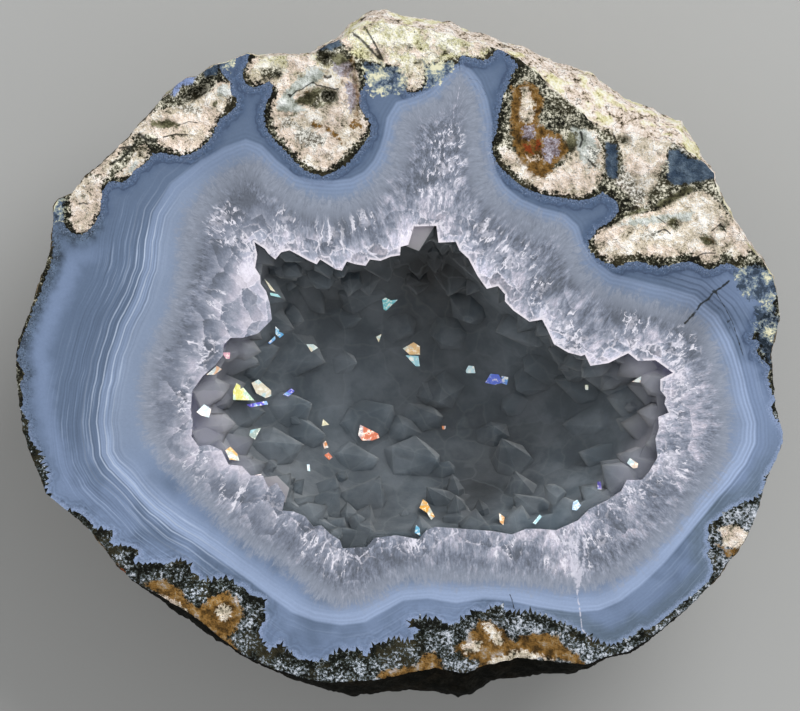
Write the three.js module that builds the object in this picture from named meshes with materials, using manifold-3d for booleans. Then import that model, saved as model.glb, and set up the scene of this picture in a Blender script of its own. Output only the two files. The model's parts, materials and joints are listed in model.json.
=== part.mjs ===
// Half of an agate geode, sawn flat and polished, lying on its rounded back with the face up.
// Millimetres, +Z up. The origin is the middle of the flat that the stone rests on.
import * as THREE from "three";
import { mergeVertices } from "three/addons/utils/BufferGeometryUtils.js";
import Module from "manifold-3d";

// Driving dimensions
const HEIGHT = 46; // from the resting flat to the sawn face
const GIRTH_DEPTH = 8; // how far below the face the stone is widest
const FLARE = [[0, 0], [2, 0.42], [4.8, 0.86]]; // depth below the face, and share of the way to the girth
const BACK_LEVELS = [0, 5, 10, 15, 20, 25, 29.5, 33.5, 37, 39.6]; // below the girth
const BACK_OVERSHOOT = 2.5; // the back would close this far below the resting flat
const BACK_ROUNDNESS = 2.3; // exponent of the back's profile: 2 is an ellipse, more is boxier
const BACK_SOFTENING = 60; // passes that melt the outline's corners, all felt halfway down the back
const QUARTZ_DEPTH = 33; // from the face to the bottom of the quartz
const QUARTZ_ROUNDNESS = 2.4;
const QUARTZ_CENTRE = [4, -2];
const QUARTZ_DEPTHS = [0, 7, 17, 26, 32];
const QUARTZ_SOFTENING = 30; // passes that melt the corners of the quartz's outline
const SOFTENED_BELOW = 12; // depth from which the quartz's outline has lost its corners
const HOLLOW_DEPTH = 25; // from the face to the floor of the hollow, between its crystals
const HOLLOW_ROUNDNESS = 2.3;
const HOLLOW_BOXIER_ABOVE = 0.5; // how much boxier the hollow's profile is under its upper edge
const HOLLOW_CENTRE = [5, -6];
const HOLLOW_DEPTHS = [1.4, 5.4, 10.5, 16, 20.8, 23.8, 24.8];
const HOLLOW_SOFTENING = 26; // passes that melt the edge's teeth into the rounder wall below it
const HOLLOW_STEP = 3; // that wall keeps one in this many of the edge's points
const EDGE_DEPTH = 2.6; // how far down the broken edge runs straight
const UNDERCUT = 2.2; // how far the hollow reaches back under its upper edge
const UNDERCUT_DEPTH = 10; // depth at which the wall is back under that edge
const FIT_GAP = 0.3; // between the quartz and the wall it grew on
const TRIM = 3; // how far cutting bodies run past the surface that they cut

// The stone's widest outline seen from above, and how far inside it the sawn edge lies.
const GIRTH = [
  [-55.3, -0.7, 0.2], [-54.8, 2, 0.2], [-54, 4.2, 0.3], [-52.9, 7, 0.3], [-52, 10, 0.3],
  [-51, 13, 0.4], [-50.2, 16, 0.4], [-50, 21, 0.4], [-49.2, 22.2, 0.4], [-47.2, 23, 0.3],
  [-45.5, 25.4, 0.4], [-43.2, 27.2, 0.4], [-41.4, 29.2, 0.5], [-39.3, 31, 0.5], [-37.9, 32.9, 0.5],
  [-36, 34.7, 0.5], [-34.2, 36.9, 0.5], [-32.2, 38.7, 0.5], [-30.8, 39.8, 0.5], [-29.3, 39.9, 0.4],
  [-26.8, 41.6, 0.4], [-25.2, 41.8, 0.4], [-22, 43.3, 0.4], [-20.2, 43, 0.5], [-16.5, 43.1, 0.6],
  [-13, 43.3, 0.6], [-11, 44.6, 0.7], [-9, 45.6, 0.9], [-7.3, 47.6, 1.6], [-4.9, 49.2, 2.2],
  [-2.5, 49.7, 2.4], [0, 49, 2], [4, 48.3, 2], [7.5, 47.7, 2.2], [10.3, 46.5, 2],
  [13, 45.8, 1.8], [15.2, 44.7, 1.6], [18, 44.3, 2.4], [20.3, 42.8, 2.6], [24.5, 41.4, 4.6],
  [27.5, 40.4, 5.6], [30.5, 38.3, 6], [33.5, 36.5, 5.4], [36.7, 35.4, 4.8], [39, 34, 4.2],
  [40.7, 33.5, 4], [42.4, 30.7, 2.4], [43.9, 28, 0.9], [45.5, 26, 0.5], [45.4, 24.8, 0.4],
  [46.9, 21.9, 0.6], [48.8, 18.8, 0.8], [50.4, 16.1, 0.9], [52.4, 13.8, 0.8], [53.9, 10.9, 0.5],
  [54.4, 8, 0.3], [54.7, 4.9, 0.3], [54, 2.2, 0.3], [53.4, -0.3, 0.3], [53.9, -4.8, 0.3],
  [54.1, -8, 0.3], [55, -11, 0.3], [55.2, -12.7, 0.3], [54.3, -15.2, 0.3], [53.1, -17.4, 0.3],
  [52.2, -20, 0.3], [51.8, -21.8, 0.3], [50.7, -25.1, 0.4], [49.2, -28, 0.4], [47.2, -30.4, 0.4],
  [46.1, -32.1, 0.4], [44.2, -34.2, 0.4], [41.3, -37.2, 0.5], [38.3, -39.7, 0.6], [36, -41.6, 0.7],
  [33.2, -43.5, 0.8], [30, -44.2, 0.7], [27.3, -45.7, 1.1], [24.5, -46.5, 2], [20, -46.6, 2.6],
  [17.3, -47, 3.3], [13, -47.6, 2.9], [11, -49.2, 3.6], [8.4, -50, 4.1], [4.5, -49.1, 3.9],
  [0.5, -48.9, 2.8], [-3.5, -49.3, 2.3], [-6.8, -49.8, 2.7], [-10.5, -48.9, 1.6], [-14.5, -47.4, 0.8],
  [-18.5, -45.8, 0.6], [-22.5, -44.1, 0.7], [-26.5, -41.5, 1], [-30.5, -38.9, 1.5], [-34.5, -35.9, 1],
  [-38.5, -32.9, 0.3], [-40.9, -30.6, 0.3], [-42.8, -28, 0.4], [-44.8, -25.6, 0.4], [-47.3, -23.4, 0.3],
  [-50.9, -20.4, 0.3], [-51.8, -17.7, 0.2], [-53.1, -14.7, 0.2], [-54.2, -11.2, 0.2], [-54.9, -6, 0.2],
];

// Where the chalcedony gives way to quartz on the face.
const QUARTZ_EDGE = [
  [-36.8, 0], [-35, 4], [-33.3, 8], [-32.4, 12], [-31.6, 16], [-30.4, 20],
  [-28, 23.4], [-25.2, 25.6], [-22.4, 27.6], [-20, 27.4], [-17, 24.8], [-14, 22.7],
  [-11, 21.6], [-8, 21.7], [-5.4, 23.2], [-3.4, 25.2], [-1.8, 27.6], [-0.8, 30.6],
  [-0.2, 33.2], [1.2, 34.9], [3.6, 35.6], [5.6, 36.7], [7, 38.4], [8.6, 40],
  [10.2, 38], [11.4, 35.4], [12, 32], [12.1, 28.6], [12.8, 25.4], [14.2, 22.6],
  [16.8, 20.6], [20, 19.2], [23, 18.5], [24.6, 17], [25.6, 14.8], [27.2, 12],
  [30, 9.8], [34, 8.7], [38, 7.6], [41.6, 6.6], [44.4, 4.2], [46, 1],
  [47, -2.4], [47.8, -6], [48.2, -10], [48, -13.6], [46.8, -17], [44.8, -20],
  [42.4, -23], [39.6, -26.2], [36.6, -29.4], [33.6, -32], [30.6, -33.8], [27, -34.7],
  [22.6, -34.8], [18, -34.3], [13, -33.8], [8, -34], [4, -33.6], [0.6, -33.8],
  [-2.4, -35.4], [-5.4, -36.8], [-8.6, -37], [-12, -35.8], [-15, -33.4], [-18, -31],
  [-21.6, -29], [-25, -26.4], [-28.4, -23], [-31.6, -19.6], [-34.6, -16.4], [-37, -12.6],
  [-38, -8.6], [-37.8, -4],
];

// The broken outline of crystal tips where the hollow opens at the face.
const HOLLOW_EDGE = [
  [-20.8, 15.8], [-19.3, 14.8], [-18.8, 14.1], [-17.8, 13.3], [-17, 14.3], [-15.8, 14.6],
  [-15, 14.2], [-13, 13.1], [-11.9, 12.6], [-11.4, 13.3], [-9.2, 11.9], [-8.3, 11.7],
  [-7.6, 13], [-6.3, 12.6], [-4.9, 12.4], [-4.3, 13.3], [-2.8, 13.1], [-1.3, 13.7],
  [0, 13.9], [0.1, 15.1], [1.2, 15.4], [2, 18], [5.2, 18.1], [5.5, 15.7],
  [8, 15.8], [8.5, 14.6], [9.8, 13.4], [11.1, 10.9], [12.4, 9.1], [14, 9.5],
  [15, 8.3], [15, 7.3], [16.2, 6], [18.5, 4.4], [20.3, 4.7], [21, 3.4],
  [22, 1.2], [24, 0], [25.9, -0.5], [26.4, -0.3], [27.2, -1.9], [28.6, -1.7],
  [29.8, -1.5], [32.6, -0.1], [34, -1.2], [36.5, -1.1], [37.8, -2], [39, -2.9],
  [37.2, -3.8], [37.2, -5.4], [38, -6.4], [37.8, -7.3], [38.4, -8.6], [36.9, -9.2],
  [37, -10.8], [36.5, -12.3], [36.8, -15], [35.6, -17], [34.6, -18.2], [32.4, -18.2],
  [31.6, -19.8], [29.8, -21], [27, -22.4], [25.4, -24], [22.3, -25.4], [20, -25.2],
  [18, -25.2], [16, -26], [13, -25.5], [9, -25.2], [5, -24.9], [3.8, -25.4],
  [2.6, -26.7], [-0.5, -26.1], [-3.6, -26.5], [-4.8, -27.8], [-8.2, -28], [-8.6, -26.8],
  [-10, -25.9], [-11.3, -24.7], [-12.4, -24.9], [-13.6, -23.4], [-15.3, -22.7], [-16.8, -22.6],
  [-16.4, -20.6], [-17.6, -18.6], [-18.8, -19.3], [-19.6, -17.5], [-21.3, -17.6], [-22.6, -16.2],
  [-24.5, -16], [-25.5, -14], [-27.2, -13.2], [-28.8, -13.4], [-29.8, -12], [-29.6, -10],
  [-29.9, -8], [-29.7, -5.5], [-28.2, -3.4], [-26.4, -1.8], [-25.3, -0.4], [-25.2, 1.1],
  [-24.2, 2.1], [-22.5, 2.1], [-20.3, 2.7], [-19.2, 3.8], [-18.3, 4.7], [-18.6, 7],
  [-19.1, 8.7], [-19.9, 9.8], [-20, 11], [-20.7, 12.1], [-20.4, 14],
];

// Hollows weathered out of the host rock on the face: centre, half length, half width, turn and depth.
const ROCK_PITS = [
  { at: [-31, 36.2], half: [2.7, 0.9], turn: 14, depth: 2.2 },
  { at: [-11.6, 37], half: [3.4, 1.5], turn: -6, depth: 1.8 },
  { at: [-33.4, 32.8], half: [2.1, 0.6], turn: -4, depth: 0.9 },
  { at: [-2.8, 42.2], half: [0.8, 0.7], turn: 0, depth: 1 },
  { at: [32.1, 30.3], half: [0.9, 0.8], turn: 0, depth: 1.1 },
  { at: [39.2, 18.2], half: [1.3, 0.9], turn: 20, depth: 0.8 },
  { at: [43.7, 15.9], half: [1.6, 0.7], turn: -25, depth: 0.9 },
];

// Knobs on the hidden back
const KNOB_SEED = 7;
const KNOB_COUNT = 64;
const KNOBS_BELOW_GIRTH = 4; // the highest knobs sit this far below the girth
const KNOB_HEIGHT = [1.6, 4];
const KNOB_REACH = [5, 11];
const HOLLOWED_BETWEEN_KNOBS = 2; // how far the back lies inside its plain form between knobs
const KNOBS_GROW_OVER = 6; // height over which knobs die away towards the girth and the resting flat

// Rows of crystals on the hollow's wall: depth below the face, spacing, radius and free length.
const CRYSTAL_ROWS = [
  { depth: 4, spacing: 7.2, radius: [1.8, 2.8], reach: [1.6, 3] },
  { depth: 9, spacing: 7.6, radius: [2.8, 4.2], reach: [2, 4] },
  { depth: 14.5, spacing: 8.2, radius: [3.4, 5], reach: [2, 4.4] },
  { depth: 19.6, spacing: 8.8, radius: [3.8, 5.6], reach: [2, 4.4] },
  { depth: 23.2, spacing: 8.8, radius: [3.8, 5.8], reach: [1.8, 4] },
  { depth: 24.8, spacing: 9.6, radius: [3.8, 5.6], reach: [1.6, 3.4] },
];
const CRYSTAL_SEED = 23;
const CRYSTAL_SIDES = 6;
const CRYSTAL_SINK = 3.4; // how deep a crystal's root stands in the quartz
const CRYSTAL_FOCUS = 0.3; // crystals point at a spot this share of the way down the hollow
const CRYSTAL_STRAY = 0.5; // how far a crystal may stand out of step with its row, in spacings
const CRYSTAL_STRAY_DEPTH = 1.2;
const CRYSTAL_FLATNESS = [0.75, 1];
const TIP_RISE = 1.1; // height of a crystal's pyramid over its radius
const TIP_LIMIT = 0.7; // the pyramid is at most this share of the crystal's length
const TIP_SHIFT = 0.34; // how far the point may lie off the crystal's axis, as a share of its radius
const CRYSTAL_TAPER = 0.95;
const CRYSTAL_LEAN = 0.38;

// Crystals that stand out at the hollow's edge: tip, root, radius and flattening.
const LARGE_CRYSTALS = [
  { tip: [2.7, 14.2, 43.6], root: [3.6, 21, 42.2], radius: 2.5, flat: 0.8 },
  { tip: [7.6, 14.4, 42.8], root: [7, 20, 41.6], radius: 2, flat: 0.9 },
  { tip: [-15.2, -19.6, 44.3], root: [-22, -22, 41], radius: 2.3, flat: 0.8 },
  { tip: [-23.4, -10, 44.4], root: [-31, -10.4, 41.4], radius: 1.6, flat: 0.9 },
  { tip: [-25.6, -6.4, 43.4], root: [-33, -6, 38.5], radius: 2.9, flat: 0.8 },
  { tip: [-22.4, 0, 43.6], root: [-29, 1, 40], radius: 1.9, flat: 0.85 },
  { tip: [-21, -15.4, 43.4], root: [-27.5, -19, 39], radius: 2.2, flat: 0.9 },
  { tip: [28.6, -16.4, 44.2], root: [36, -21, 40], radius: 2.7, flat: 0.85 },
  { tip: [35, -12.6, 44.2], root: [42, -13.4, 40], radius: 1.9, flat: 0.9 },
  { tip: [16.4, -21.8, 43.2], root: [16.8, -29.5, 39.5], radius: 2.9, flat: 0.85 },
  { tip: [10.6, -22.4, 43.2], root: [10.4, -30, 39.6], radius: 2.3, flat: 0.9 },
  { tip: [22.6, -19.8, 43], root: [25.6, -28, 39.4], radius: 2.8, flat: 0.85 },
  { tip: [5, -15.2, 29.6], root: [-1, -17.6, 18], radius: 5, flat: 0.85 },
  { tip: [-8, -23.4, 42.6], root: [-12.5, -30, 38.6], radius: 2.4, flat: 0.9 },
  { tip: [-19.6, 2.4, 42.4], root: [-26, 6, 40.4], radius: 2.2, flat: 0.85 },
];

const AGATE = new THREE.MeshStandardMaterial({ color: 0x6f86ae, roughness: 0.32, metalness: 0 });
const QUARTZ = new THREE.MeshStandardMaterial({ color: 0x9297a3, roughness: 0.14, metalness: 0 });

const wasm = await Module();
wasm.setup();

// A repeatable stream of numbers from 0 to 1.
function numbersFrom(seed) {
  let state = seed;
  return () => {
    state = (state * 1664525 + 1013904223) % 4294967296;
    return state / 4294967296;
  };
}

function within([low, high], share) {
  return low + (high - low) * share;
}

function eitherWay(most, share) {
  return within([-most, most], share);
}

function solidOf(geometry) {
  const bare = new THREE.BufferGeometry();
  bare.setAttribute("position", geometry.getAttribute("position"));
  bare.setIndex(geometry.getIndex());
  const merged = mergeVertices(bare, 1e-4);
  return new wasm.Manifold(
    new wasm.Mesh({
      numProp: 3,
      vertProperties: new Float32Array(merged.getAttribute("position").array),
      triVerts: new Uint32Array(merged.getIndex().array),
    }),
  );
}

function meshOf(name, solid, material) {
  const { numProp, vertProperties, triVerts } = solid.getMesh();
  const positions = new Float32Array((vertProperties.length / numProp) * 3);
  for (let i = 0; i < positions.length / 3; i++) {
    positions.set(vertProperties.subarray(i * numProp, i * numProp + 3), i * 3);
  }
  const geometry = new THREE.BufferGeometry();
  geometry.setAttribute("position", new THREE.BufferAttribute(positions, 3));
  geometry.setIndex(new THREE.BufferAttribute(new Uint32Array(triVerts), 1));
  const mesh = new THREE.Mesh(geometry, material);
  mesh.name = name;
  return mesh;
}

// A closed body through rings of equally many points, listed from the top down.
// Seen from above each ring runs clockwise.
function bodyThroughRings(rings) {
  const count = rings[0].length;
  const positions = rings.flat().flat();
  const faces = [];
  for (let level = 0; level < rings.length - 1; level++) {
    for (let i = 0; i < count; i++) {
      const upper = level * count + i;
      const upperNext = level * count + ((i + 1) % count);
      faces.push(upper, upperNext, upper + count);
      faces.push(upperNext, upperNext + count, upper + count);
    }
  }
  const capOf = (ring) => THREE.ShapeUtils.triangulateShape(
    ring.map(([x, y]) => new THREE.Vector2(x, y)), [],
  );
  const bottom = (rings.length - 1) * count;
  capOf(rings[0]).forEach(([a, b, c]) => faces.push(...upward(rings[0], [a, b, c])));
  capOf(rings.at(-1)).forEach(([a, b, c]) => {
    const [p, q, r] = upward(rings.at(-1), [a, b, c]);
    faces.push(bottom + p, bottom + r, bottom + q);
  });
  const geometry = new THREE.BufferGeometry();
  geometry.setAttribute("position", new THREE.Float32BufferAttribute(positions, 3));
  geometry.setIndex(faces);
  return solidOf(geometry);
}

// The triangle's corners in the order that makes it face up.
function upward(ring, [a, b, c]) {
  const area = (ring[b][0] - ring[a][0]) * (ring[c][1] - ring[a][1])
    - (ring[c][0] - ring[a][0]) * (ring[b][1] - ring[a][1]);
  return area > 0 ? [a, b, c] : [a, c, b];
}

// Each point of an outline moved towards its neighbours, again and again, so that teeth melt away.
function relaxed(outline, passes) {
  let points = outline.map(([x, y]) => [x, y]);
  for (let pass = 0; pass < passes; pass++) {
    points = points.map(([x, y], i) => {
      const before = points.at(i - 1);
      const after = points[(i + 1) % points.length];
      return [(2 * x + before[0] + after[0]) / 4, (2 * y + before[1] + after[1]) / 4];
    });
  }
  return points;
}

// The outline moved inwards along its own normals.
function inset(outline, distanceAt) {
  return outline.map(([x, y], i) => {
    const before = outline.at(i - 1);
    const after = outline[(i + 1) % outline.length];
    const along = new THREE.Vector2(after[0] - before[0], after[1] - before[1]).normalize();
    const distance = distanceAt(i);
    return [x + along.y * distance, y - along.x * distance];
  });
}

function profileAt(share, roundness) {
  return (1 - Math.min(share, 1) ** roundness) ** (1 / roundness);
}

// The back before its knobs: a point under a place on the girth, some way below it.
function plainBack() {
  const softened = relaxed(GIRTH, BACK_SOFTENING);
  const fullDepth = HEIGHT - GIRTH_DEPTH + BACK_OVERSHOOT;
  return (i, below) => {
    const share = below / fullDepth;
    const scale = profileAt(share, BACK_ROUNDNESS);
    const soft = Math.min(1, share * 2);
    const x = GIRTH[i][0] + (softened[i][0] - GIRTH[i][0]) * soft;
    const y = GIRTH[i][1] + (softened[i][1] - GIRTH[i][1]) * soft;
    return new THREE.Vector3(x * scale, y * scale, HEIGHT - GIRTH_DEPTH - below);
  };
}

function makeKnobs(backAt) {
  const next = numbersFrom(KNOB_SEED);
  return Array.from({ length: KNOB_COUNT }, () => {
    const below = within([KNOBS_BELOW_GIRTH, HEIGHT - GIRTH_DEPTH], next());
    const at = backAt(Math.floor(next() * GIRTH.length), below);
    return { at, height: within(KNOB_HEIGHT, next()), reach: within(KNOB_REACH, next()) };
  });
}

function withKnobs(point, knobs) {
  const rise = knobs.reduce((most, { at, height, reach }) => (
    Math.max(most, height * Math.exp(-2 * (point.distanceTo(at) / reach) ** 2))
  ), 0);
  const belowGirth = HEIGHT - GIRTH_DEPTH - point.z;
  const share = THREE.MathUtils.clamp(Math.min(belowGirth, point.z) / KNOBS_GROW_OVER, 0, 1);
  const outwards = point.clone().setZ(point.z - HEIGHT + GIRTH_DEPTH).normalize();
  return point.clone().addScaledVector(outwards, (rise - HOLLOWED_BETWEEN_KNOBS) * share);
}

function makeStone() {
  const widest = GIRTH.map(([x, y]) => [x, y]);
  const sawn = inset(widest, (i) => GIRTH[i][2]);
  const aboveGirth = FLARE.map(([depth, share]) => widest.map(([x, y], i) => [
    sawn[i][0] + (x - sawn[i][0]) * share,
    sawn[i][1] + (y - sawn[i][1]) * share,
    HEIGHT - depth,
  ]));
  const backAt = plainBack();
  const knobs = makeKnobs(backAt);
  const belowGirth = BACK_LEVELS.map((below) => (
    GIRTH.map((_, i) => withKnobs(backAt(i, below), knobs).toArray())
  ));
  return bodyThroughRings([...aboveGirth, ...belowGirth]).subtract(slabBelow(0));
}

// A slab that takes away everything under the given height.
function slabBelow(height) {
  const side = 160;
  const thickness = 20;
  const slab = new THREE.BoxGeometry(side, side, thickness);
  slab.translate(0, 0, height - thickness / 2);
  return solidOf(slab);
}

function makeRockPit({ at, half, turn, depth }) {
  const pit = new THREE.IcosahedronGeometry(1, 1);
  pit.scale(half[0], half[1], depth);
  pit.rotateZ(THREE.MathUtils.degToRad(turn));
  pit.translate(at[0], at[1], HEIGHT);
  return solidOf(pit);
}

// The bowl that the quartz fills, from above the face down to its bottom, made smaller by the gap.
function makeQuartzBowl(gap, rise) {
  const softened = relaxed(QUARTZ_EDGE, QUARTZ_SOFTENING);
  const [middleX, middleY] = QUARTZ_CENTRE;
  const rings = QUARTZ_DEPTHS.map((depth) => {
    const scale = profileAt(depth / QUARTZ_DEPTH, QUARTZ_ROUNDNESS);
    const soft = Math.min(1, depth / SOFTENED_BELOW);
    const full = QUARTZ_EDGE.map(([x, y], i) => [
      middleX + (x + (softened[i][0] - x) * soft - middleX) * scale,
      middleY + (y + (softened[i][1] - y) * soft - middleY) * scale,
    ]);
    const level = depth === 0 ? HEIGHT : HEIGHT - depth + gap;
    return inset(full, () => gap).map(([x, y]) => [x, y, level]);
  });
  const above = rings[0].map(([x, y]) => [x, y, HEIGHT + rise]);
  return bodyThroughRings(rise > 0 ? [above, ...rings] : rings);
}

// The hollow's wall: rings of it at a depth below the face, and points at a place along it from 0 to 1.
function hollowWall() {
  const rounded = relaxed(HOLLOW_EDGE, HOLLOW_SOFTENING);
  const count = Math.floor(rounded.length / HOLLOW_STEP);
  const outline = Array.from({ length: count }, (_, i) => rounded[Math.floor(i * HOLLOW_STEP)]);
  const pointAt = (i, depth) => {
    const x = outline[i][0] - HOLLOW_CENTRE[0];
    const y = outline[i][1] - HOLLOW_CENTRE[1];
    const radius = Math.hypot(x, y);
    const upperSide = y / radius;
    const roundness = HOLLOW_ROUNDNESS + HOLLOW_BOXIER_ABOVE * upperSide;
    const swell = Math.sin(Math.PI * Math.min(1, depth / UNDERCUT_DEPTH));
    const back = UNDERCUT * Math.max(0, upperSide) * swell;
    const scale = profileAt(depth / HOLLOW_DEPTH, roundness) + back / radius;
    return [HOLLOW_CENTRE[0] + x * scale, HOLLOW_CENTRE[1] + y * scale, HEIGHT - depth];
  };
  return {
    ring: (depth) => outline.map((_, i) => pointAt(i, depth)),
    at: (place, depth) => {
      const index = place * count;
      const i = Math.floor(index) % count;
      const near = new THREE.Vector3(...pointAt(i, depth));
      return near.lerp(new THREE.Vector3(...pointAt((i + 1) % count, depth)), index % 1);
    },
  };
}

function makeHollow(wall) {
  const edgeAt = (level) => HOLLOW_EDGE.map(([x, y]) => [x, y, level]);
  const opening = bodyThroughRings([edgeAt(HEIGHT + TRIM), edgeAt(HEIGHT - EDGE_DEPTH)]);
  return opening.add(bodyThroughRings(HOLLOW_DEPTHS.map((depth) => wall.ring(depth))));
}

// A six-sided crystal from its root to the point of its pyramid, which lies off its axis.
function makeCrystal(root, tip, radius, flat, next) {
  const length = root.distanceTo(tip);
  const pyramid = Math.min(radius * TIP_RISE, length * TIP_LIMIT);
  const profile = [
    new THREE.Vector2(0, 0),
    new THREE.Vector2(radius, 0),
    new THREE.Vector2(radius * CRYSTAL_TAPER, length - pyramid),
    new THREE.Vector2(0, length),
  ];
  const crystal = new THREE.LatheGeometry(profile, CRYSTAL_SIDES);
  const position = crystal.getAttribute("position");
  const shift = [0, 0].map(() => eitherWay(TIP_SHIFT * radius, next()));
  for (let i = 0; i < position.count; i++) {
    const share = Math.max(0, (position.getY(i) - length + pyramid) / pyramid);
    position.setX(i, position.getX(i) + shift[0] * share);
    position.setZ(i, position.getZ(i) + shift[1] * share);
  }
  crystal.rotateY(next() * Math.PI);
  crystal.scale(1, 1, flat);
  const axis = tip.clone().sub(root).normalize();
  crystal.applyQuaternion(new THREE.Quaternion().setFromUnitVectors(new THREE.Vector3(0, 1, 0), axis));
  crystal.translate(root.x, root.y, root.z);
  return solidOf(crystal);
}

function makeCrystalRow(wall, row, next) {
  const ring = wall.ring(row.depth);
  const girth = ring.reduce((sum, [x, y], i) => {
    const after = ring[(i + 1) % ring.length];
    return sum + Math.hypot(after[0] - x, after[1] - y);
  }, 0);
  const count = Math.max(1, Math.round(girth / row.spacing));
  const focus = new THREE.Vector3(...HOLLOW_CENTRE, HEIGHT - HOLLOW_DEPTH * CRYSTAL_FOCUS);
  return Array.from({ length: count }, (_, i) => {
    const place = ((i + next() * CRYSTAL_STRAY) / count) % 1;
    const foot = wall.at(place, row.depth + eitherWay(CRYSTAL_STRAY_DEPTH / 2, next()));
    const axis = focus.clone().sub(foot).normalize();
    axis.x += eitherWay(CRYSTAL_LEAN, next());
    axis.y += eitherWay(CRYSTAL_LEAN, next());
    axis.z += eitherWay(CRYSTAL_LEAN / 2, next());
    axis.normalize();
    const radius = within(row.radius, next());
    const tip = foot.clone().addScaledVector(axis, within(row.reach, next()));
    const root = foot.clone().addScaledVector(axis, -CRYSTAL_SINK);
    return makeCrystal(root, tip, radius, within(CRYSTAL_FLATNESS, next()), next);
  });
}

function makeCrystals(wall) {
  const next = numbersFrom(CRYSTAL_SEED);
  const inRows = CRYSTAL_ROWS.flatMap((row) => makeCrystalRow(wall, row, next));
  const large = LARGE_CRYSTALS.map(({ tip, root, radius, flat }) => (
    makeCrystal(new THREE.Vector3(...root), new THREE.Vector3(...tip), radius, flat, next)
  ));
  return [...inRows, ...large];
}

function makeAgateShell() {
  const cuts = [makeQuartzBowl(0, TRIM), ...ROCK_PITS.map(makeRockPit)];
  return cuts.reduce((stone, cut) => stone.subtract(cut), makeStone());
}

function makeQuartzCrust() {
  const wall = hollowWall();
  const bowl = makeQuartzBowl(FIT_GAP, 0);
  const lining = bowl.subtract(makeHollow(wall));
  return makeCrystals(wall).reduce((crust, crystal) => crust.add(crystal.intersect(bowl)), lining);
}

const geode = new THREE.Group();
geode.add(meshOf("agate_shell", makeAgateShell(), AGATE));
geode.add(meshOf("quartz_crust", makeQuartzCrust(), QUARTZ));

export default geode;
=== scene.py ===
import json
import math
import random

import bmesh
import bpy
import numpy as np
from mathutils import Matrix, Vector, noise
from mathutils.bvhtree import BVHTree
from mathutils.geometry import delaunay_2d_cdt

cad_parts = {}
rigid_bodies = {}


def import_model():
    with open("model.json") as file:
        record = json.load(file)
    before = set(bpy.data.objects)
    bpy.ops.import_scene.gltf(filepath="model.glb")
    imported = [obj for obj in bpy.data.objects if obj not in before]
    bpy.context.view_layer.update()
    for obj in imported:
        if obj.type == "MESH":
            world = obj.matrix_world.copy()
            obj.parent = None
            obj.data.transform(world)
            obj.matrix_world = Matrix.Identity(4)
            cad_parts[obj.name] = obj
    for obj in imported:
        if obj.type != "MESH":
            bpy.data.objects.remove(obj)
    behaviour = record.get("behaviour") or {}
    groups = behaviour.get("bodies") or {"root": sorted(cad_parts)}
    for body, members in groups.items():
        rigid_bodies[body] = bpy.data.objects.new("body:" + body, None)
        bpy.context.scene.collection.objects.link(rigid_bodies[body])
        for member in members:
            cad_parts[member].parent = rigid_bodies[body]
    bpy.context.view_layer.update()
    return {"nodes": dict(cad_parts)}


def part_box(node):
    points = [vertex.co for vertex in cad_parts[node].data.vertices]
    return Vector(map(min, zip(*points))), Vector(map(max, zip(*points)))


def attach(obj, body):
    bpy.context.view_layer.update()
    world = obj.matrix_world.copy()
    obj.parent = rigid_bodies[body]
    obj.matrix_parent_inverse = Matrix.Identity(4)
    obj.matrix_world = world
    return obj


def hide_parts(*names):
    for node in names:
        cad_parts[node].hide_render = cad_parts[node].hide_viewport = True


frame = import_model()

bl_info = {
    "name": "Agate geode",
    "version": (1, 0, 0),
    "blender": (4, 5, 0),
    "location": "3D View > Sidebar > Geode",
    "description": "Half of an agate geode: banded wall in host rock round a quartz-lined hollow",
    "category": "Add Mesh",
}

FACE_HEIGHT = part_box("agate_shell")[1].z
MM = 0.001

# Points worked on at a time, and two numbers that only keep a division from failing
BATCH = 4000
TINY = 1e-12
SMALL = 1e-6

# How near two places are when they count as one, in metres
SAME_PLACE = 1e-7
SEAM_GAP = 3e-7
NEAR_FACE = 2e-6

# Steps along the quartz's edge, rows down the stone's back, and how far a patch is felt, in millimetres
EDGE_STEP = 1.0
BACK_ROWS = 64
PATCH_REACH = 3

# The stage, in metres
FLOOR_DROP = 0.0001
PICTURE_MIDDLE = -0.00043
LAMP_PLACE = (0.38, 0.5, 0.72)
LAMP_TARGET = (0, 0, 0.03)
LAMP_SIZE = 0.5

# Outlines on the sawn face, in millimetres from the middle of the resting flat, clockwise from the left

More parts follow.
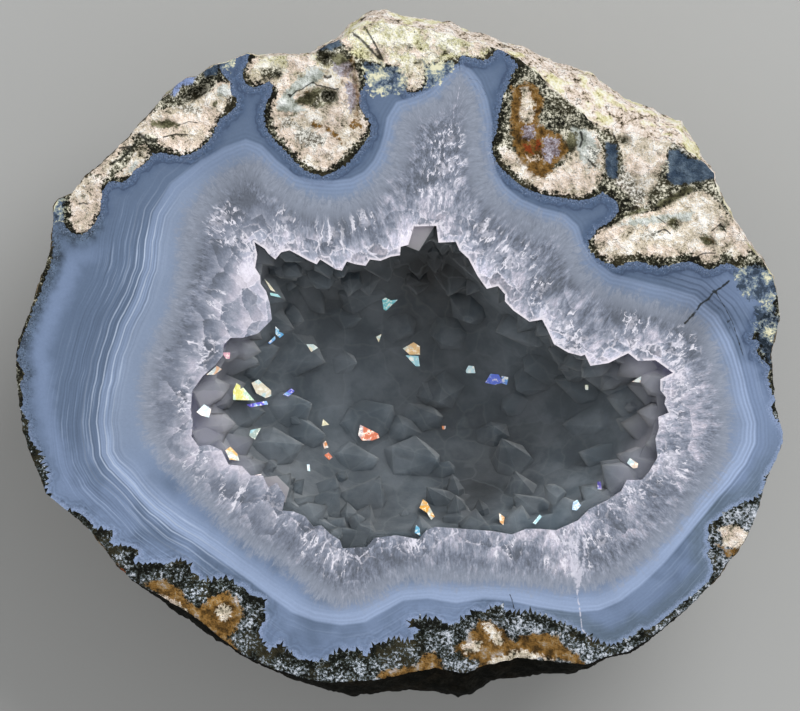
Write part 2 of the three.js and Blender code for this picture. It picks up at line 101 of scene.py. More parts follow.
# The sharp outer edge of the pale band, between the quartz and the rock
PALE_LINE = [
    (-41, 0), (-39.6, 4), (-37.6, 8), (-36.5, 12), (-36, 16), (-35, 20), (-32.6, 24), (-28.4, 27.2),
    (-25, 29.1), (-22, 30.2), (-19.9, 29.4), (-17.8, 27.3), (-15, 25), (-12.5, 24.4), (-10, 24.3),
    (-7, 24.6), (-5, 25.6), (-3.6, 27.2), (-2.6, 29.2), (-2.1, 31), (-1.7, 33.4), (-0.4, 35.6),
    (2.2, 36.4), (4.4, 37.4), (6, 39), (7.4, 40.4), (8.7, 40.9), (10, 40.2), (11.3, 38.6),
    (12.3, 36), (12.9, 32.8), (12.8, 29.2), (13.4, 26), (14.9, 23.5), (17.3, 21.7), (20.3, 20.4),
    (23.5, 19.5), (25.2, 18), (26, 15.6), (27.6, 13), (30.3, 11), (34, 10), (38, 9.1), (42, 8),
    (45.2, 5.2), (47.2, 1.6), (48.5, -2.2), (49.5, -6), (50.6, -10), (50.6, -13), (49.2, -15.9),
    (47.2, -18.5), (45.2, -20.6), (42.9, -23.5), (40.2, -26.8), (37.4, -30.1), (34.2, -33.2),
    (31.4, -35.3), (28.4, -36.6), (25, -36.9), (20, -36.2), (15.4, -35.2), (12, -34.9), (8, -35.6),
    (4, -34.9), (0.4, -35.2), (-2.2, -36.7), (-5, -38.3), (-8.4, -38.7), (-12, -38.1), (-15.4, -36.9),
    (-18.4, -34.7), (-21.6, -32.2), (-25.5, -29.5), (-28.8, -27.2), (-32.3, -25.1), (-35.4, -22.6),
    (-38.8, -19), (-41.4, -16.4), (-42.4, -14.6), (-42.9, -10), (-42.3, -5),
]
# Where the chalcedony meets the rock
ROCK_EDGE = [
    (-54.6, -0.6), (-54.2, 1.4), (-53.4, 3.4), (-52.6, 5.6), (-51.8, 7.8), (-50.9, 10), (-50, 12.4),
    (-49.6, 14.6), (-49.9, 16.4), (-51, 18), (-51, 21.4), (-49.4, 22.8), (-48.3, 21.6), (-48, 19),
    (-47.7, 17.8), (-46.7, 17), (-45.5, 16.8), (-44.5, 17.4), (-43.5, 18.6), (-42.8, 20), (-42.7, 21.5),
    (-42.5, 23), (-41.7, 24.3), (-40.8, 24.5), (-39.8, 24.3), (-38.7, 24.8), (-38, 26), (-36.8, 26.7),
    (-36, 27.5), (-35.2, 28.6), (-34.3, 28.6), (-33, 28.3), (-31.5, 28.1), (-30, 28.3), (-28.5, 29.2),
    (-27.4, 30.2), (-26.3, 32.2), (-25.8, 33.4), (-24.6, 34), (-23.5, 35), (-23.3, 36.2), (-24.2, 37),
    (-24.3, 38.7), (-25.3, 39.7), (-25.8, 40.8), (-26.6, 43), (-24, 44.5), (-21.5, 44), (-21.7, 41.5),
    (-22.3, 40.6), (-22.5, 39.5), (-22, 38.4), (-21, 37.8), (-19.5, 38.2), (-18.8, 38.8), (-18.2, 38.3),
    (-18.3, 37), (-19, 35.8), (-19.3, 34.5), (-19.3, 33), (-18.7, 31.4), (-17.8, 30.2), (-16.5, 29),
    (-15.2, 27.6), (-14, 26.3), (-12.5, 25.6), (-11, 25.2), (-9.5, 25.8), (-8.2, 26.6), (-7, 27.6),
    (-6, 28.7), (-5, 30), (-4.2, 31.4), (-4.2, 32.6), (-4.7, 33.4), (-5.5, 34.6), (-5.9, 35.7),
    (-5.8, 37), (-5, 38.2), (-5.2, 39.5), (-5, 40.4), (-4, 40.2), (-2.5, 40.3), (-1, 39.9), (0, 39.8),
    (0.5, 38.3), (1, 37.2), (2.2, 37.1), (3.2, 37.5), (3.9, 38.7), (3.7, 40.2), (4.5, 40.8), (6, 41.2),
    (7, 41), (8.3, 41.2), (8.6, 42.5), (9.5, 42.3), (10.8, 42), (12, 41.7), (12.9, 42.2), (13.8, 43.5),
    (15, 43.3), (16, 42), (17, 41), (16.3, 40), (15.7, 38.8), (15.3, 37.8), (14.7, 36.5), (14.6, 35.5),
    (14.2, 34), (14, 32.5), (13.7, 31.2), (13.2, 30), (13.2, 28.7), (13.7, 27.5), (14.4, 26.3),
    (15.3, 25.5), (16.3, 24.6), (17.5, 23.7), (19, 23), (20.5, 22.5), (22, 22.2), (24, 22), (25.5, 21.7),
    (27, 21.9), (28.3, 22.4), (29, 22.9), (31, 21.5), (31.3, 20.3), (30.3, 19), (29.5, 18.3),
    (28.2, 17.7), (27.6, 16.5), (26.9, 15.8), (27.2, 14.6), (28.2, 13.5), (29, 13), (30.5, 12.5),
    (31, 12.2), (32.5, 12.9), (34, 13), (35.5, 12.6), (37, 12.3), (38.5, 12.5), (40, 12.8), (41.5, 13),
    (42.5, 12.6), (43.5, 12), (44.5, 11.9), (45.5, 12.4), (46.5, 12.8), (47.5, 12.5), (48.4, 12),
    (50.4, 12.3), (52.6, 11.6), (53.6, 10), (53.8, 8), (52.8, 6.4), (51.4, 4.6), (50.3, 2), (51.5, 1.5),
    (51, 0), (51.8, -1), (52.8, -2), (52.6, -3.5), (53, -5), (53.7, -6.5), (53, -7.8), (53.4, -9),
    (54.5, -10.5), (55, -12.5), (54.2, -15), (53, -16.5), (52.2, -18), (51.9, -20.3), (50.5, -21.2),
    (49, -21.4), (48.2, -21.9), (47, -22.5), (46, -23.3), (45, -24.2), (44, -25), (44.2, -25.8),
    (43.9, -26.8), (44.7, -27.8), (43.8, -28.6), (44.2, -29.2), (44.6, -30), (44.7, -31.3), (44.1, -32.6),
    (42.3, -34.3), (40.3, -35.9), (38.3, -37.4), (36.7, -38.8), (35.4, -39.6), (34.4, -39.5), (33.5, -40.4),
    (32, -41.3), (31, -41.8), (29.5, -41.9), (28, -41.6), (27, -41), (26, -40.2), (25, -39.5),
    (24, -39), (22.5, -38.7), (21.5, -38), (20, -37.6), (18.5, -37.2), (17, -37.4), (16, -37.2),
    (15, -37), (14, -36.2), (13, -36.5), (12, -37.2), (10.8, -36.9), (10, -37.5), (9, -38.4),
    (7.8, -39), (6.5, -39), (5.5, -38.2), (4, -38.3), (2.5, -38.1), (1.2, -38.4), (1.5, -39),
    (2.8, -39.5), (2.3, -40.5), (1.5, -41.4), (0.3, -41.5), (-0.1, -40.8), (-0.8, -41.2), (-1.6, -41),
    (-2.2, -41.8), (-3.8, -41.7), (-4.3, -43.2), (-5, -43.5), (-5.8, -42.5), (-7, -42.8), (-8, -42.7),
    (-9.3, -43), (-10.5, -44.2), (-11.5, -44.3), (-13, -44), (-14.5, -43.8), (-15.5, -43),
    (-16.5, -42.8), (-17, -41.5), (-17.8, -42.3), (-18.8, -43), (-19.3, -42), (-20, -41),
    (-20.2, -39.5), (-19.2, -38), (-19.8, -36.5), (-19.2, -35.5), (-20, -35), (-21.5, -34.5),
    (-22.3, -33.5), (-23.5, -33.3), (-24.5, -32.5), (-25.7, -32.3), (-27, -32.8), (-28.3, -32.8),
    (-29, -31.7), (-29.8, -31.5), (-30, -30.5), (-31, -29.9), (-32, -29.8), (-33.5, -30.3), (-35, -30),
    (-36.5, -30.3), (-38, -30.2), (-38, -29.5), (-37.3, -28.7), (-38, -28), (-39.5, -27.6),
    (-41, -27.7), (-41.6, -26.8), (-41, -25.8), (-42, -25.3), (-43.5, -25.4), (-44.2, -24.3),
    (-45, -23.5), (-46, -22.8), (-47.3, -22.7), (-48.6, -22), (-50.3, -20.7), (-50.8, -18.8),
    (-50.5, -17.2), (-51.4, -15.6), (-51.9, -13.9), (-53, -12.2), (-53.2, -10.2), (-54.1, -8),
    (-53.8, -6.4), (-54.3, -4.6), (-53.6, -3), (-54.4, -1.6),
]

# Patches of each finish in the rock, as outlines
CREAM = [
    [(-46.8, 22.7), (-46, 24.3), (-43.8, 25.1), (-43, 24.3), (-42.8, 21.9), (-43.8, 19.2), (-45.2, 17.4),
     (-46.5, 18.2), (-46.8, 20)],
    [(-43.9, 25.9), (-41.9, 28.4), (-39.9, 30.4), (-38.4, 31.4), (-38.4, 30), (-40.4, 28.8), (-41.3, 27),
     (-42.4, 25.2)],
    [(-40.2, 25.4), (-38.8, 26.9), (-36.4, 29.6), (-36.2, 28.4), (-37.4, 26.8), (-38.6, 25.8),
     (-39.5, 25.2)],
    [(-38.3, 31.9), (-37, 33.6), (-34.9, 34.5), (-33.3, 34.5), (-30.4, 35.1), (-29.8, 36.2), (-28.4, 36.6),
     (-27.1, 37.2), (-25.9, 38.4), (-24.3, 38.4), (-23.9, 37.7), (-24.9, 36), (-26, 34.3), (-27, 32.6),
     (-27.6, 31.2), (-28.6, 29.9), (-30, 29), (-31.8, 28.9), (-33.1, 29.5), (-34.2, 30.4), (-34.6, 31.6),
     (-36, 31.6), (-37.3, 31.3)],
    [(-21.6, 39.4), (-21.3, 41.2), (-20, 42.4), (-17, 43.1), (-14, 43.4), (-12.2, 43.2), (-10, 41),
     (-8, 41.4), (-6.5, 40.4), (-6, 38.3), (-6.4, 36.5), (-6.2, 34.5), (-4.9, 33), (-5.2, 31.8),
     (-6.4, 30.6), (-7.4, 29.4), (-8.9, 27.8), (-10.9, 26.4), (-12.7, 26.9), (-14.1, 28.1), (-16, 30.2),
     (-17.5, 32.1), (-18.1, 34), (-17.8, 36), (-17, 37.4), (-18, 38.8), (-20.2, 38.8)],
    [(-22, 43.2), (-16, 43.8), (-12.6, 44), (-11.6, 45.2), (-8.6, 45.2), (-7.4, 43.4), (-6, 42.4),
     (-4.4, 42), (-2.4, 41.4), (-0.3, 41), (0.6, 39), (1.4, 37.8), (2.6, 37.9), (3.2, 39.2), (3.1, 40.6),
     (4.2, 41.5), (8, 42.4), (9.6, 42.9), (11.8, 42.3), (13, 44), (15, 45), (12, 52), (-12, 52), (-22, 46)],
    [(14.7, 29), (16.1, 28.7), (17.3, 27.4), (19.2, 25.4), (21.4, 25.5), (23.5, 26.8), (24.8, 28.4),
     (24.8, 31), (26, 32.8), (27.6, 31.2), (29, 28.7), (28.9, 26.6), (28.3, 24.3), (26.7, 22.9), (25, 22.6),
     (22.6, 23), (20, 23.8), (17.6, 25), (15.9, 26.6), (14.9, 27.8)],
    [(16.5, 46), (17.4, 42.4), (20, 41.4), (20.6, 39.6), (21.5, 37.8), (23.8, 36.3), (26.6, 34.4),
     (28.6, 32.4), (31, 31.2), (31.6, 29.6), (32, 28), (32.6, 26), (31.2, 24.6), (32.4, 22.4), (34.4, 20.9),
     (35.4, 21.6), (36, 23.2), (37.2, 25), (38, 27.2), (38, 29.4), (40, 29.6), (42, 28.2), (44.4, 27.4),
     (48, 28), (40, 42)],
    [(28, 16), (28.9, 17.4), (31.4, 18.5), (33, 19.3), (35.4, 19.8), (37.6, 20.4), (40.4, 22.2),
     (43.3, 22.8), (45.5, 21.3), (46.8, 19.3), (48.6, 18), (50.8, 15.4), (49.8, 14.5), (48.2, 13.8),
     (46.3, 15), (45.4, 13.6), (43.9, 13.1), (42.5, 14.4), (41.2, 14.7), (39, 13.9), (36.7, 14),
     (34.3, 14.4), (31.9, 14), (30, 13.6), (28.6, 14.6)],
    [(46.2, -25.3), (47.8, -24.9), (49.4, -25.6), (50, -27), (48, -27.9), (46.4, -27.5)],
]
AMBER = [
    [(-40.7, -30.2), (-39.8, -30.8), (-38.8, -32), (-39.4, -32.6), (-41, -31.2)],
    [(-36.7, -32.9), (-33.8, -32.4), (-31.6, -33.8), (-30.2, -35.7), (-28, -36.4), (-27, -34.8),
     (-25, -34.2), (-23, -35.2), (-22.4, -37.4), (-23.4, -39.4), (-24.6, -40.6), (-22.9, -42.8),
     (-24.3, -42.6), (-26.9, -40.4), (-29.4, -38), (-32.4, -35.9), (-35.3, -34)],
    [(-3.4, -46.4), (-2, -45.2), (0, -45.2), (2.2, -44.8), (3.6, -43.1), (4.7, -42.8), (5.8, -44.2),
     (6.6, -45.9), (3.6, -46.3), (0, -46.9)],
    [(7.9, -42), (9.7, -40.6), (11.3, -38.2), (13.3, -38.6), (15.2, -40), (16, -41.2), (18.8, -40.2),
     (22.4, -40.3), (23.4, -41.8), (25.8, -43.6), (26.5, -44.8), (23.2, -44), (20.8, -43.8), (16.4, -43.3),
     (13.8, -44.6), (12.1, -46.2), (10.3, -46), (11.5, -44), (8.7, -43.3)],
    [(16, 37.7), (18, 38.6), (19.6, 37.9), (20.6, 36.1), (19.9, 33.6), (20.5, 32.1), (23.2, 30.9),
     (24.2, 28.7), (23.2, 27.4), (21.8, 26.3), (21, 25.1), (19.2, 25.3), (17.3, 27), (16.7, 28.3),
     (16.1, 29.5), (16, 32), (15.9, 34)],
    [(-12.7, 33), (-11.4, 32.8), (-10.3, 31.6), (-9.2, 30.6), (-7.6, 29.6), (-8.4, 30.6), (-9.8, 31.8),
     (-11, 32.2), (-12.4, 32)],
    [(-6.9, 33.6), (-5.8, 33.2), (-5.4, 32.2), (-6.6, 31.6), (-7.2, 32.4)],
    [(45.5, -27.4), (47, -28), (49, -27.9), (48.8, -29), (46.8, -29.2)],
]
CORE = [
    [(17.4, 37.8), (18.3, 38), (18.9, 36.5), (19.3, 35.3), (19, 33), (17.5, 32.7), (17, 34), (17.3, 35.7)],
    [(11.7, -38.6), (13.2, -38.8), (14.9, -41.2), (14.4, -42.1), (12.8, -40.8)],
    [(8.9, -42), (10.9, -41.1), (11.8, -41.6), (10.5, -42.9), (9.1, -42.9)],
    [(12.1, -44.9), (13.6, -43.7), (17.2, -42.5), (20.8, -43.5), (21.8, -44.1), (18.8, -43.8),
     (14.4, -44.7)],
    [(-26.2, -36.4), (-25.4, -35.8), (-24.4, -36.2), (-24, -37.2), (-24.6, -38.2), (-25.7, -38.2),
     (-26.3, -37.4)],
    [(17.6, 28.3), (19, 27.9), (20.6, 28), (20.4, 27.5), (18.8, 27.4)],
    [(-34.6, -34.6), (-32.4, -35.2), (-30.4, -37), (-31, -37.3), (-33, -36.1)],
]
LAVENDER = [
    [(17.4, 32.5), (19, 32.3), (19.3, 30.8), (18.2, 30.2), (17.4, 31.2)],
    [(20.5, 30.8), (22.7, 30.4), (22.5, 28.3), (21.6, 27), (20.6, 27.5), (20.3, 29.1)],
    [(-7.9, 38.4), (-6.6, 39), (-5.9, 37.2), (-6.2, 34.6), (-7.1, 34.4), (-7.5, 36.4)],
    [(-9.8, 41.8), (-7.4, 41.6), (-6.2, 40), (-7.8, 39.4), (-9.6, 40.2)],
]
RUST = [
    [(17.5, 29.7), (18.6, 29.9), (18.9, 28.9), (19.9, 29.1), (20.4, 29.5), (19.9, 30.6), (19.3, 29.7),
     (18.8, 28.3), (17.8, 28.7)],
    [(-40.3, -30.6), (-39.4, -31), (-39.2, -31.8), (-40, -31.6)],
]
WHITE = [
    [(-17.8, 34.6), (-17.2, 36.4), (-16, 37.8), (-14.8, 38.9), (-13, 40.4), (-11.6, 40.9), (-10.8, 39.8),
     (-11.6, 38.6), (-13.2, 37.9), (-14.8, 37.2), (-15.4, 36.2), (-14.4, 35.6), (-13.2, 34.8),
     (-14.6, 34.2), (-16.4, 34.4)],
    [(24.3, 32.6), (26.1, 32.9), (27.5, 31.1), (28.4, 29), (27.9, 27), (26.4, 26.8), (25.3, 28.6),
     (24.5, 30.8)],
    [(30.8, 18.4), (34, 19.2), (38, 19.7), (42.4, 20.3), (41.6, 19), (37.4, 18.6), (33.6, 18)],
    [(-26.4, 37.9), (-25, 38.3), (-24, 37.6), (-24.5, 36.2), (-25.8, 36.4)],
    [(-39.9, 25.4), (-38.4, 27), (-36.8, 28.8), (-37.2, 27.2), (-38.4, 25.9)],
]
OLIVE = [
    [(-15.1, 35.5), (-14.6, 36.4), (-13.4, 37.2), (-12, 38), (-10.6, 37.9), (-8.9, 37.3), (-8.8, 36.2),
     (-10.4, 35.2), (-12.4, 34.7), (-13.2, 35.4)],
    [(-17.2, 34), (-15.9, 34.2), (-14.6, 34.4), (-15.2, 33.7), (-16.2, 33.6)],
    [(36.2, 20.4), (36.7, 21.4), (39, 22.4), (40.5, 23.7), (42.4, 23.5), (41.4, 22.7), (40, 22),
     (38.1, 21)],
    [(38, 19.3), (39.6, 19.4), (40.2, 18.3), (39.2, 17.4), (38.2, 18.2)],
    [(42.6, 16.7), (44, 16.8), (45.4, 15.6), (44.2, 15.2), (42.8, 15.8)],
    [(-35.9, 33.2), (-33.6, 33.3), (-31.4, 32.7), (-31.4, 32.1), (-33.4, 32), (-35.6, 32.4)],
    [(-27, 35.8), (-26.2, 35.9), (-26, 35), (-26.8, 34.9)],
    [(-10.4, 42.3), (-8.2, 42.8), (-7.2, 41.6), (-9, 41)],
    [(23.8, 31.2), (25.2, 31.8), (25.4, 29.4), (24.6, 28.4), (24, 29.6)],
    [(28.8, 18.4), (31, 19.4), (33.4, 20.2), (35.2, 21), (35.4, 20.3), (33.2, 19.6), (30.6, 18.8)],
]
BLUE = [
    [(-12.2, 43.3), (-11.6, 44.6), (-9, 45), (-8, 43.8), (-9.6, 43.2)],
    [(29.3, 30), (31.1, 29.8), (31.2, 27.4), (31.1, 25), (29.9, 24.7), (29.4, 26.4)],
    [(38.4, 28.9), (39.5, 29.2), (41.4, 27.8), (44.3, 27.1), (45.7, 26), (45, 24.9), (43.3, 24.5),
     (41.4, 24.2), (39, 23.8), (38, 25.1), (38, 27)],
    [(-27.8, -31), (-26, -30.4), (-24, -31), (-25, -31.8)],
    [(-28.8, 41), (-26.6, 41.8), (-26, 39.8), (-27.8, 39.4)],
]
SKY = [
    [(-32.9, 36.7), (-32, 38.8), (-30.4, 39.8), (-29, 39.4), (-29.6, 38.3), (-31.2, 38.2), (-32, 36.6)],
]
DARK = [
    [(19.4, 40.6), (20.3, 39.6), (21.3, 38), (23.5, 36.1), (27.1, 33.4), (27.3, 31.6), (24.4, 32.2),
     (21.4, 32), (20.8, 34.4), (20.8, 37)],
    [(-32, 36.4), (-31.2, 35.3), (-29.4, 36.1), (-27, 37.3), (-26.3, 38.5), (-28, 38.6), (-30.4, 37.8)],
    [(-20.2, 40.6), (-18, 41), (-16.3, 40.3), (-16.8, 39.2), (-19.6, 39.1)],
    [(-11.9, 42.9), (-9.8, 42.7), (-9.7, 41.3), (-11, 41.1), (-12, 41.8)],
    [(31.2, 30.8), (32.4, 31), (32.9, 30), (32, 29.5), (31.2, 30)],
    [(44.8, 16), (45.7, 15.8), (45.3, 15.1), (44.6, 15.3)],
    [(39.4, 18.6), (40.1, 18.4), (39.8, 17.5), (39.2, 17.8)],
    [(45.5, 18.6), (46.6, 18.2), (46.7, 17.2), (45.6, 17.4)],
    [(-11, 37.6), (-9.3, 37.4), (-8.9, 36.4), (-10.2, 35.9), (-11.6, 35.6), (-12.6, 34.9), (-12.4, 35.7)],
    [(0.9, 44.3), (1.9, 44.3), (1.9, 43.3), (0.9, 43.4)],
    [(1.9, 41.8), (3.1, 41.7), (3, 41), (1.9, 41.1)],
    [(4.9, 42.9), (6, 42.9), (6, 42.1), (5, 42.1)],
    [(9.5, 45.1), (10.5, 45.1), (10.5, 44.3), (9.5, 44.4)],
    [(-45.6, 22.5), (-44.9, 22.5), (-44.8, 21.8), (-45.5, 21.7)],
    [(-41.2, 26.8), (-39.4, 28), (-38.6, 27), (-40, 25.9)],
    [(43.8, 24.2), (45.4, 24.4), (47.9, 19.2), (46.4, 20.4), (45, 22.6)],
    [(-5.9, 41), (-4.8, 41), (-4.7, 37.4), (-5.6, 37.4)],
    [(37.6, 27.2), (38.4, 27), (38, 25), (37.4, 23.4), (36.2, 21.8), (35, 21.4), (35.4, 22.6), (36.6, 24)],
    [(28.2, 23.8), (29.4, 25), (30.2, 24), (31.8, 23.2), (33.6, 21.4), (33.2, 20.4), (31.2, 20),
     (30.6, 22)],
    [(29.2, 18.4), (30.8, 19.6), (32.4, 19.4), (31, 18.4), (29.4, 17.4)],
]
MOTTLED = [
    [(47.7, 11.9), (51, 12.3), (53.8, 11.6), (54.6, 9.2), (53.2, 7.2), (51, 7.2), (48.4, 8.6)],
    [(-5.4, 41.5), (0, 41), (1.2, 38.4), (-1.2, 36.6), (-4.4, 37)],
    [(3.4, 41.5), (7.6, 41.6), (7.8, 40.2), (5.8, 38.6), (3.6, 38.2)],
    [(50.6, 6.4), (53, 7), (54.4, 4), (53.6, 0), (53.2, -2.6), (51.8, -0.4), (51, 3)],
    [(-50, 22.6), (-48.6, 23.2), (-47.6, 21), (-48, 19), (-49.8, 18.8)],
    [(-26.2, 42.2), (-23.6, 42.6), (-23.8, 40.6), (-26, 40.6)],
]
PEPPERED = [
    [(-15.4, 32.4), (-13.2, 32), (-11, 31.4), (-10.6, 29.8), (-12.4, 29), (-14.6, 30)],
    [(-17.3, 33.6), (-15.6, 33.6), (-14.8, 32.4), (-16.6, 32.2)],
    [(31.6, 26.6), (33, 25), (34.8, 23), (35.2, 21), (33.2, 21), (31, 24)],
    [(38, 30.6), (41.4, 30), (44, 27.8), (40.6, 28.4), (38.4, 29.4)],
    [(33.4, 16.8), (36.6, 17.6), (38, 17), (36, 16)],
    [(26.4, 29.4), (28.4, 29.4), (28.6, 26.6), (26.8, 26)],
    [(-31.6, 34.8), (-29.6, 35.6), (-28, 35), (-29, 33.6), (-31.2, 34)],
]
PATCHES = {
    "cream": CREAM, "amber": AMBER, "core": CORE, "lavender": LAVENDER, "rust": RUST, "white": WHITE,
    "olive": OLIVE, "blue": BLUE, "sky": SKY, "dark": DARK, "mottled": MOTTLED, "peppered": PEPPERED,
}

# Narrow marks on the face: points along each, half its width, and how plainly it shows from 0 to 1
CRACKS = [
    ([(47, 10.2), (45.9, 9.3), (44.8, 8.6), (43.9, 7.5), (43, 7), (42.3, 5.9), (41.7, 5.2), (40.7, 4.2)],
      0.24, 1),
    ([(45.2, 8.4), (46.5, 6.3), (47.5, 4.3), (48.3, 1.8), (49, -0.4)], 0.16, 0.7),
    ([(44.4, 7.6), (45.7, 6), (46.8, 4.2), (47.6, 1.8)], 0.08, 0.35),
    ([(33.6, 11.6), (37, 10.9), (41, 10.3), (44.6, 8.9)], 0.08, 0.35),
    ([(38, 11.7), (42, 11.7), (46, 11.2)], 0.08, 0.3),
    ([(8.5, 42), (8.6, 38.5), (9, 36.6)], 0.08, 0.6),
    ([(9.5, 39.2), (11, 38.9), (12.4, 37)], 0.08, 0.45),
    ([(9.4, 38.3), (10.6, 38.1), (11.8, 36.6)], 0.08, 0.35),
    ([(15.7, -34.6), (16, -35.4), (16.3, -36.6)], 0.14, 0.8),
    ([(25, -35), (26.8, -34.9), (28.5, -34.5)], 0.1, 0.7),
    ([(-33.8, 30.8), (-31.8, 31.2), (-30.4, 31.1)], 0.16, 1),
    ([(-42, 28), (-40, 29.2), (-38.6, 29.4)], 0.25, 1),
    ([(-41.4, 26.9), (-39.6, 27.8), (-37.8, 29.8)], 0.26, 1),
    ([(-46, 21.2), (-45.2, 21.4), (-44.6, 21.2)], 0.2, 0.8),
    ([(-37.2, 31.2), (-36.2, 30.4), (-35, 30.2)], 0.45, 1),
    ([(-31.8, 32.4), (-30.2, 33), (-28.8, 32.8)], 0.14, 0.8),
    ([(-16, 36.9), (-15.7, 36.5), (-15.2, 37), (-14.8, 37.4), (-14, 37.6), (-13.5, 38), (-13, 38.3),
      (-12.4, 38.7), (-11.9, 38.2), (-11.3, 38.1), (-10.4, 37.9), (-9.4, 37.6), (-8.8, 37.7)], 0.15, 1),
    ([(-7.5, 46.2), (-5.4, 44.6), (-3, 42)], 0.34, 1),
    ([(-5.2, 46.8), (-3.4, 43.8), (-2.4, 41.8)], 0.22, 1),
    ([(41.8, 13.4), (43.4, 14.2), (45, 14.2)], 0.2, 0.8),
    ([(29, 31.8), (30.6, 31), (31.4, 29)], 0.2, 0.8),
    ([(25.8, 31.5), (26.1, 30.4), (25.7, 29.4)], 0.3, 1),
    ([(36.6, 19.4), (38, 18.4), (40, 18.2)], 0.15, 0.8),
    ([(26.9, 27.6), (27.4, 27), (27.9, 26.6)], 0.3, 0.9),
    ([(-10.8, 39.5), (-10.4, 39.2), (-9.9, 39.4)], 0.3, 1),
    ([(44.6, 17.4), (45.8, 18.4), (46.6, 17.2)], 0.2, 0.9),
    ([(36.8, 17.2), (37.8, 17.7), (38.6, 17)], 0.2, 0.8),
]
STAINS = [
    ([(-6.9, 42), (-6.4, 38.6), (-6, 36.6), (-6.3, 33.8)], 0.5, 0.8),
    ([(-7.4, 40.4), (-8.4, 38.6), (-7.6, 36)], 0.4, 0.5),
    ([(17, 36), (16.6, 32), (17.4, 29)], 0.5, 0.8),
    ([(-15, 36.5), (-13.6, 37.2), (-12.6, 37.3)], 0.35, 0.5),
    ([(43.2, 16.6), (44.6, 16.1), (45, 15.5)], 0.4, 0.5),
]
VEINS = [
    ([(25.4, -24), (25.3, -30), (25.3, -34.5), (25.8, -37.5), (26, -39.5), (27.2, -41)], 0.16, 0.9),
    ([(23, -26.2), (24.2, -29), (25, -31.6), (25.4, -34)], 0.35, 1),
    ([(26.2, -26.4), (26.4, -29), (25.6, -33)], 0.35, 1),
    ([(24.4, -26.4), (24.8, -29), (25.3, -32)], 0.5, 1),
    ([(8.6, 38.6), (8.2, 36), (7.6, 34.2), (7.8, 32.4)], 0.12, 0.5),
    ([(32, -18.3), (32.6, -20), (33.4, -21.6)], 0.28, 0.9),
    ([(36.7, -15), (38.4, -15.4), (39.6, -16.8), (41, -17.4)], 0.14, 0.7),
    ([(1, -27.2), (1.6, -28.4), (2.2, -29.4)], 0.22, 0.8),
]
# Weathered pits in the face: middle, half lengths, turn in degrees and depth
PITS = [
    ((-29.4, 37), (2.7, 0.9), 26, 2.2), ((-13.4, 36.2), (1.7, 1), 24, 1.2),
    ((-10.2, 36.6), (1.5, 1), -8, 2), ((-33.4, 32.8), (2.1, 0.5), -4, 0.8),
    ((-15.9, 33.9), (1.3, 0.35), 6, 0.8), ((-10.9, 42.1), (0.9, 0.7), 0, 1.2),
    ((-2.8, 42.2), (0.8, 0.7), 0, 1), ((32.1, 30.3), (0.9, 0.8), 0, 1.2),
    ((39.2, 18.4), (1.1, 0.8), 20, 0.8), ((44, 15.9), (1.5, 0.7), -25, 0.9),
    ((46, 17.9), (0.7, 0.5), -60, 0.6), ((26, 30.6), (0.4, 1.1), 0, 0.7),
    ((-45.2, 22.1), (0.5, 0.4), 0, 0.6), ((-10.4, 39.3), (0.6, 0.35), 10, 0.7),
    ((2.5, 41.4), (0.7, 0.4), 0, 0.8),
]

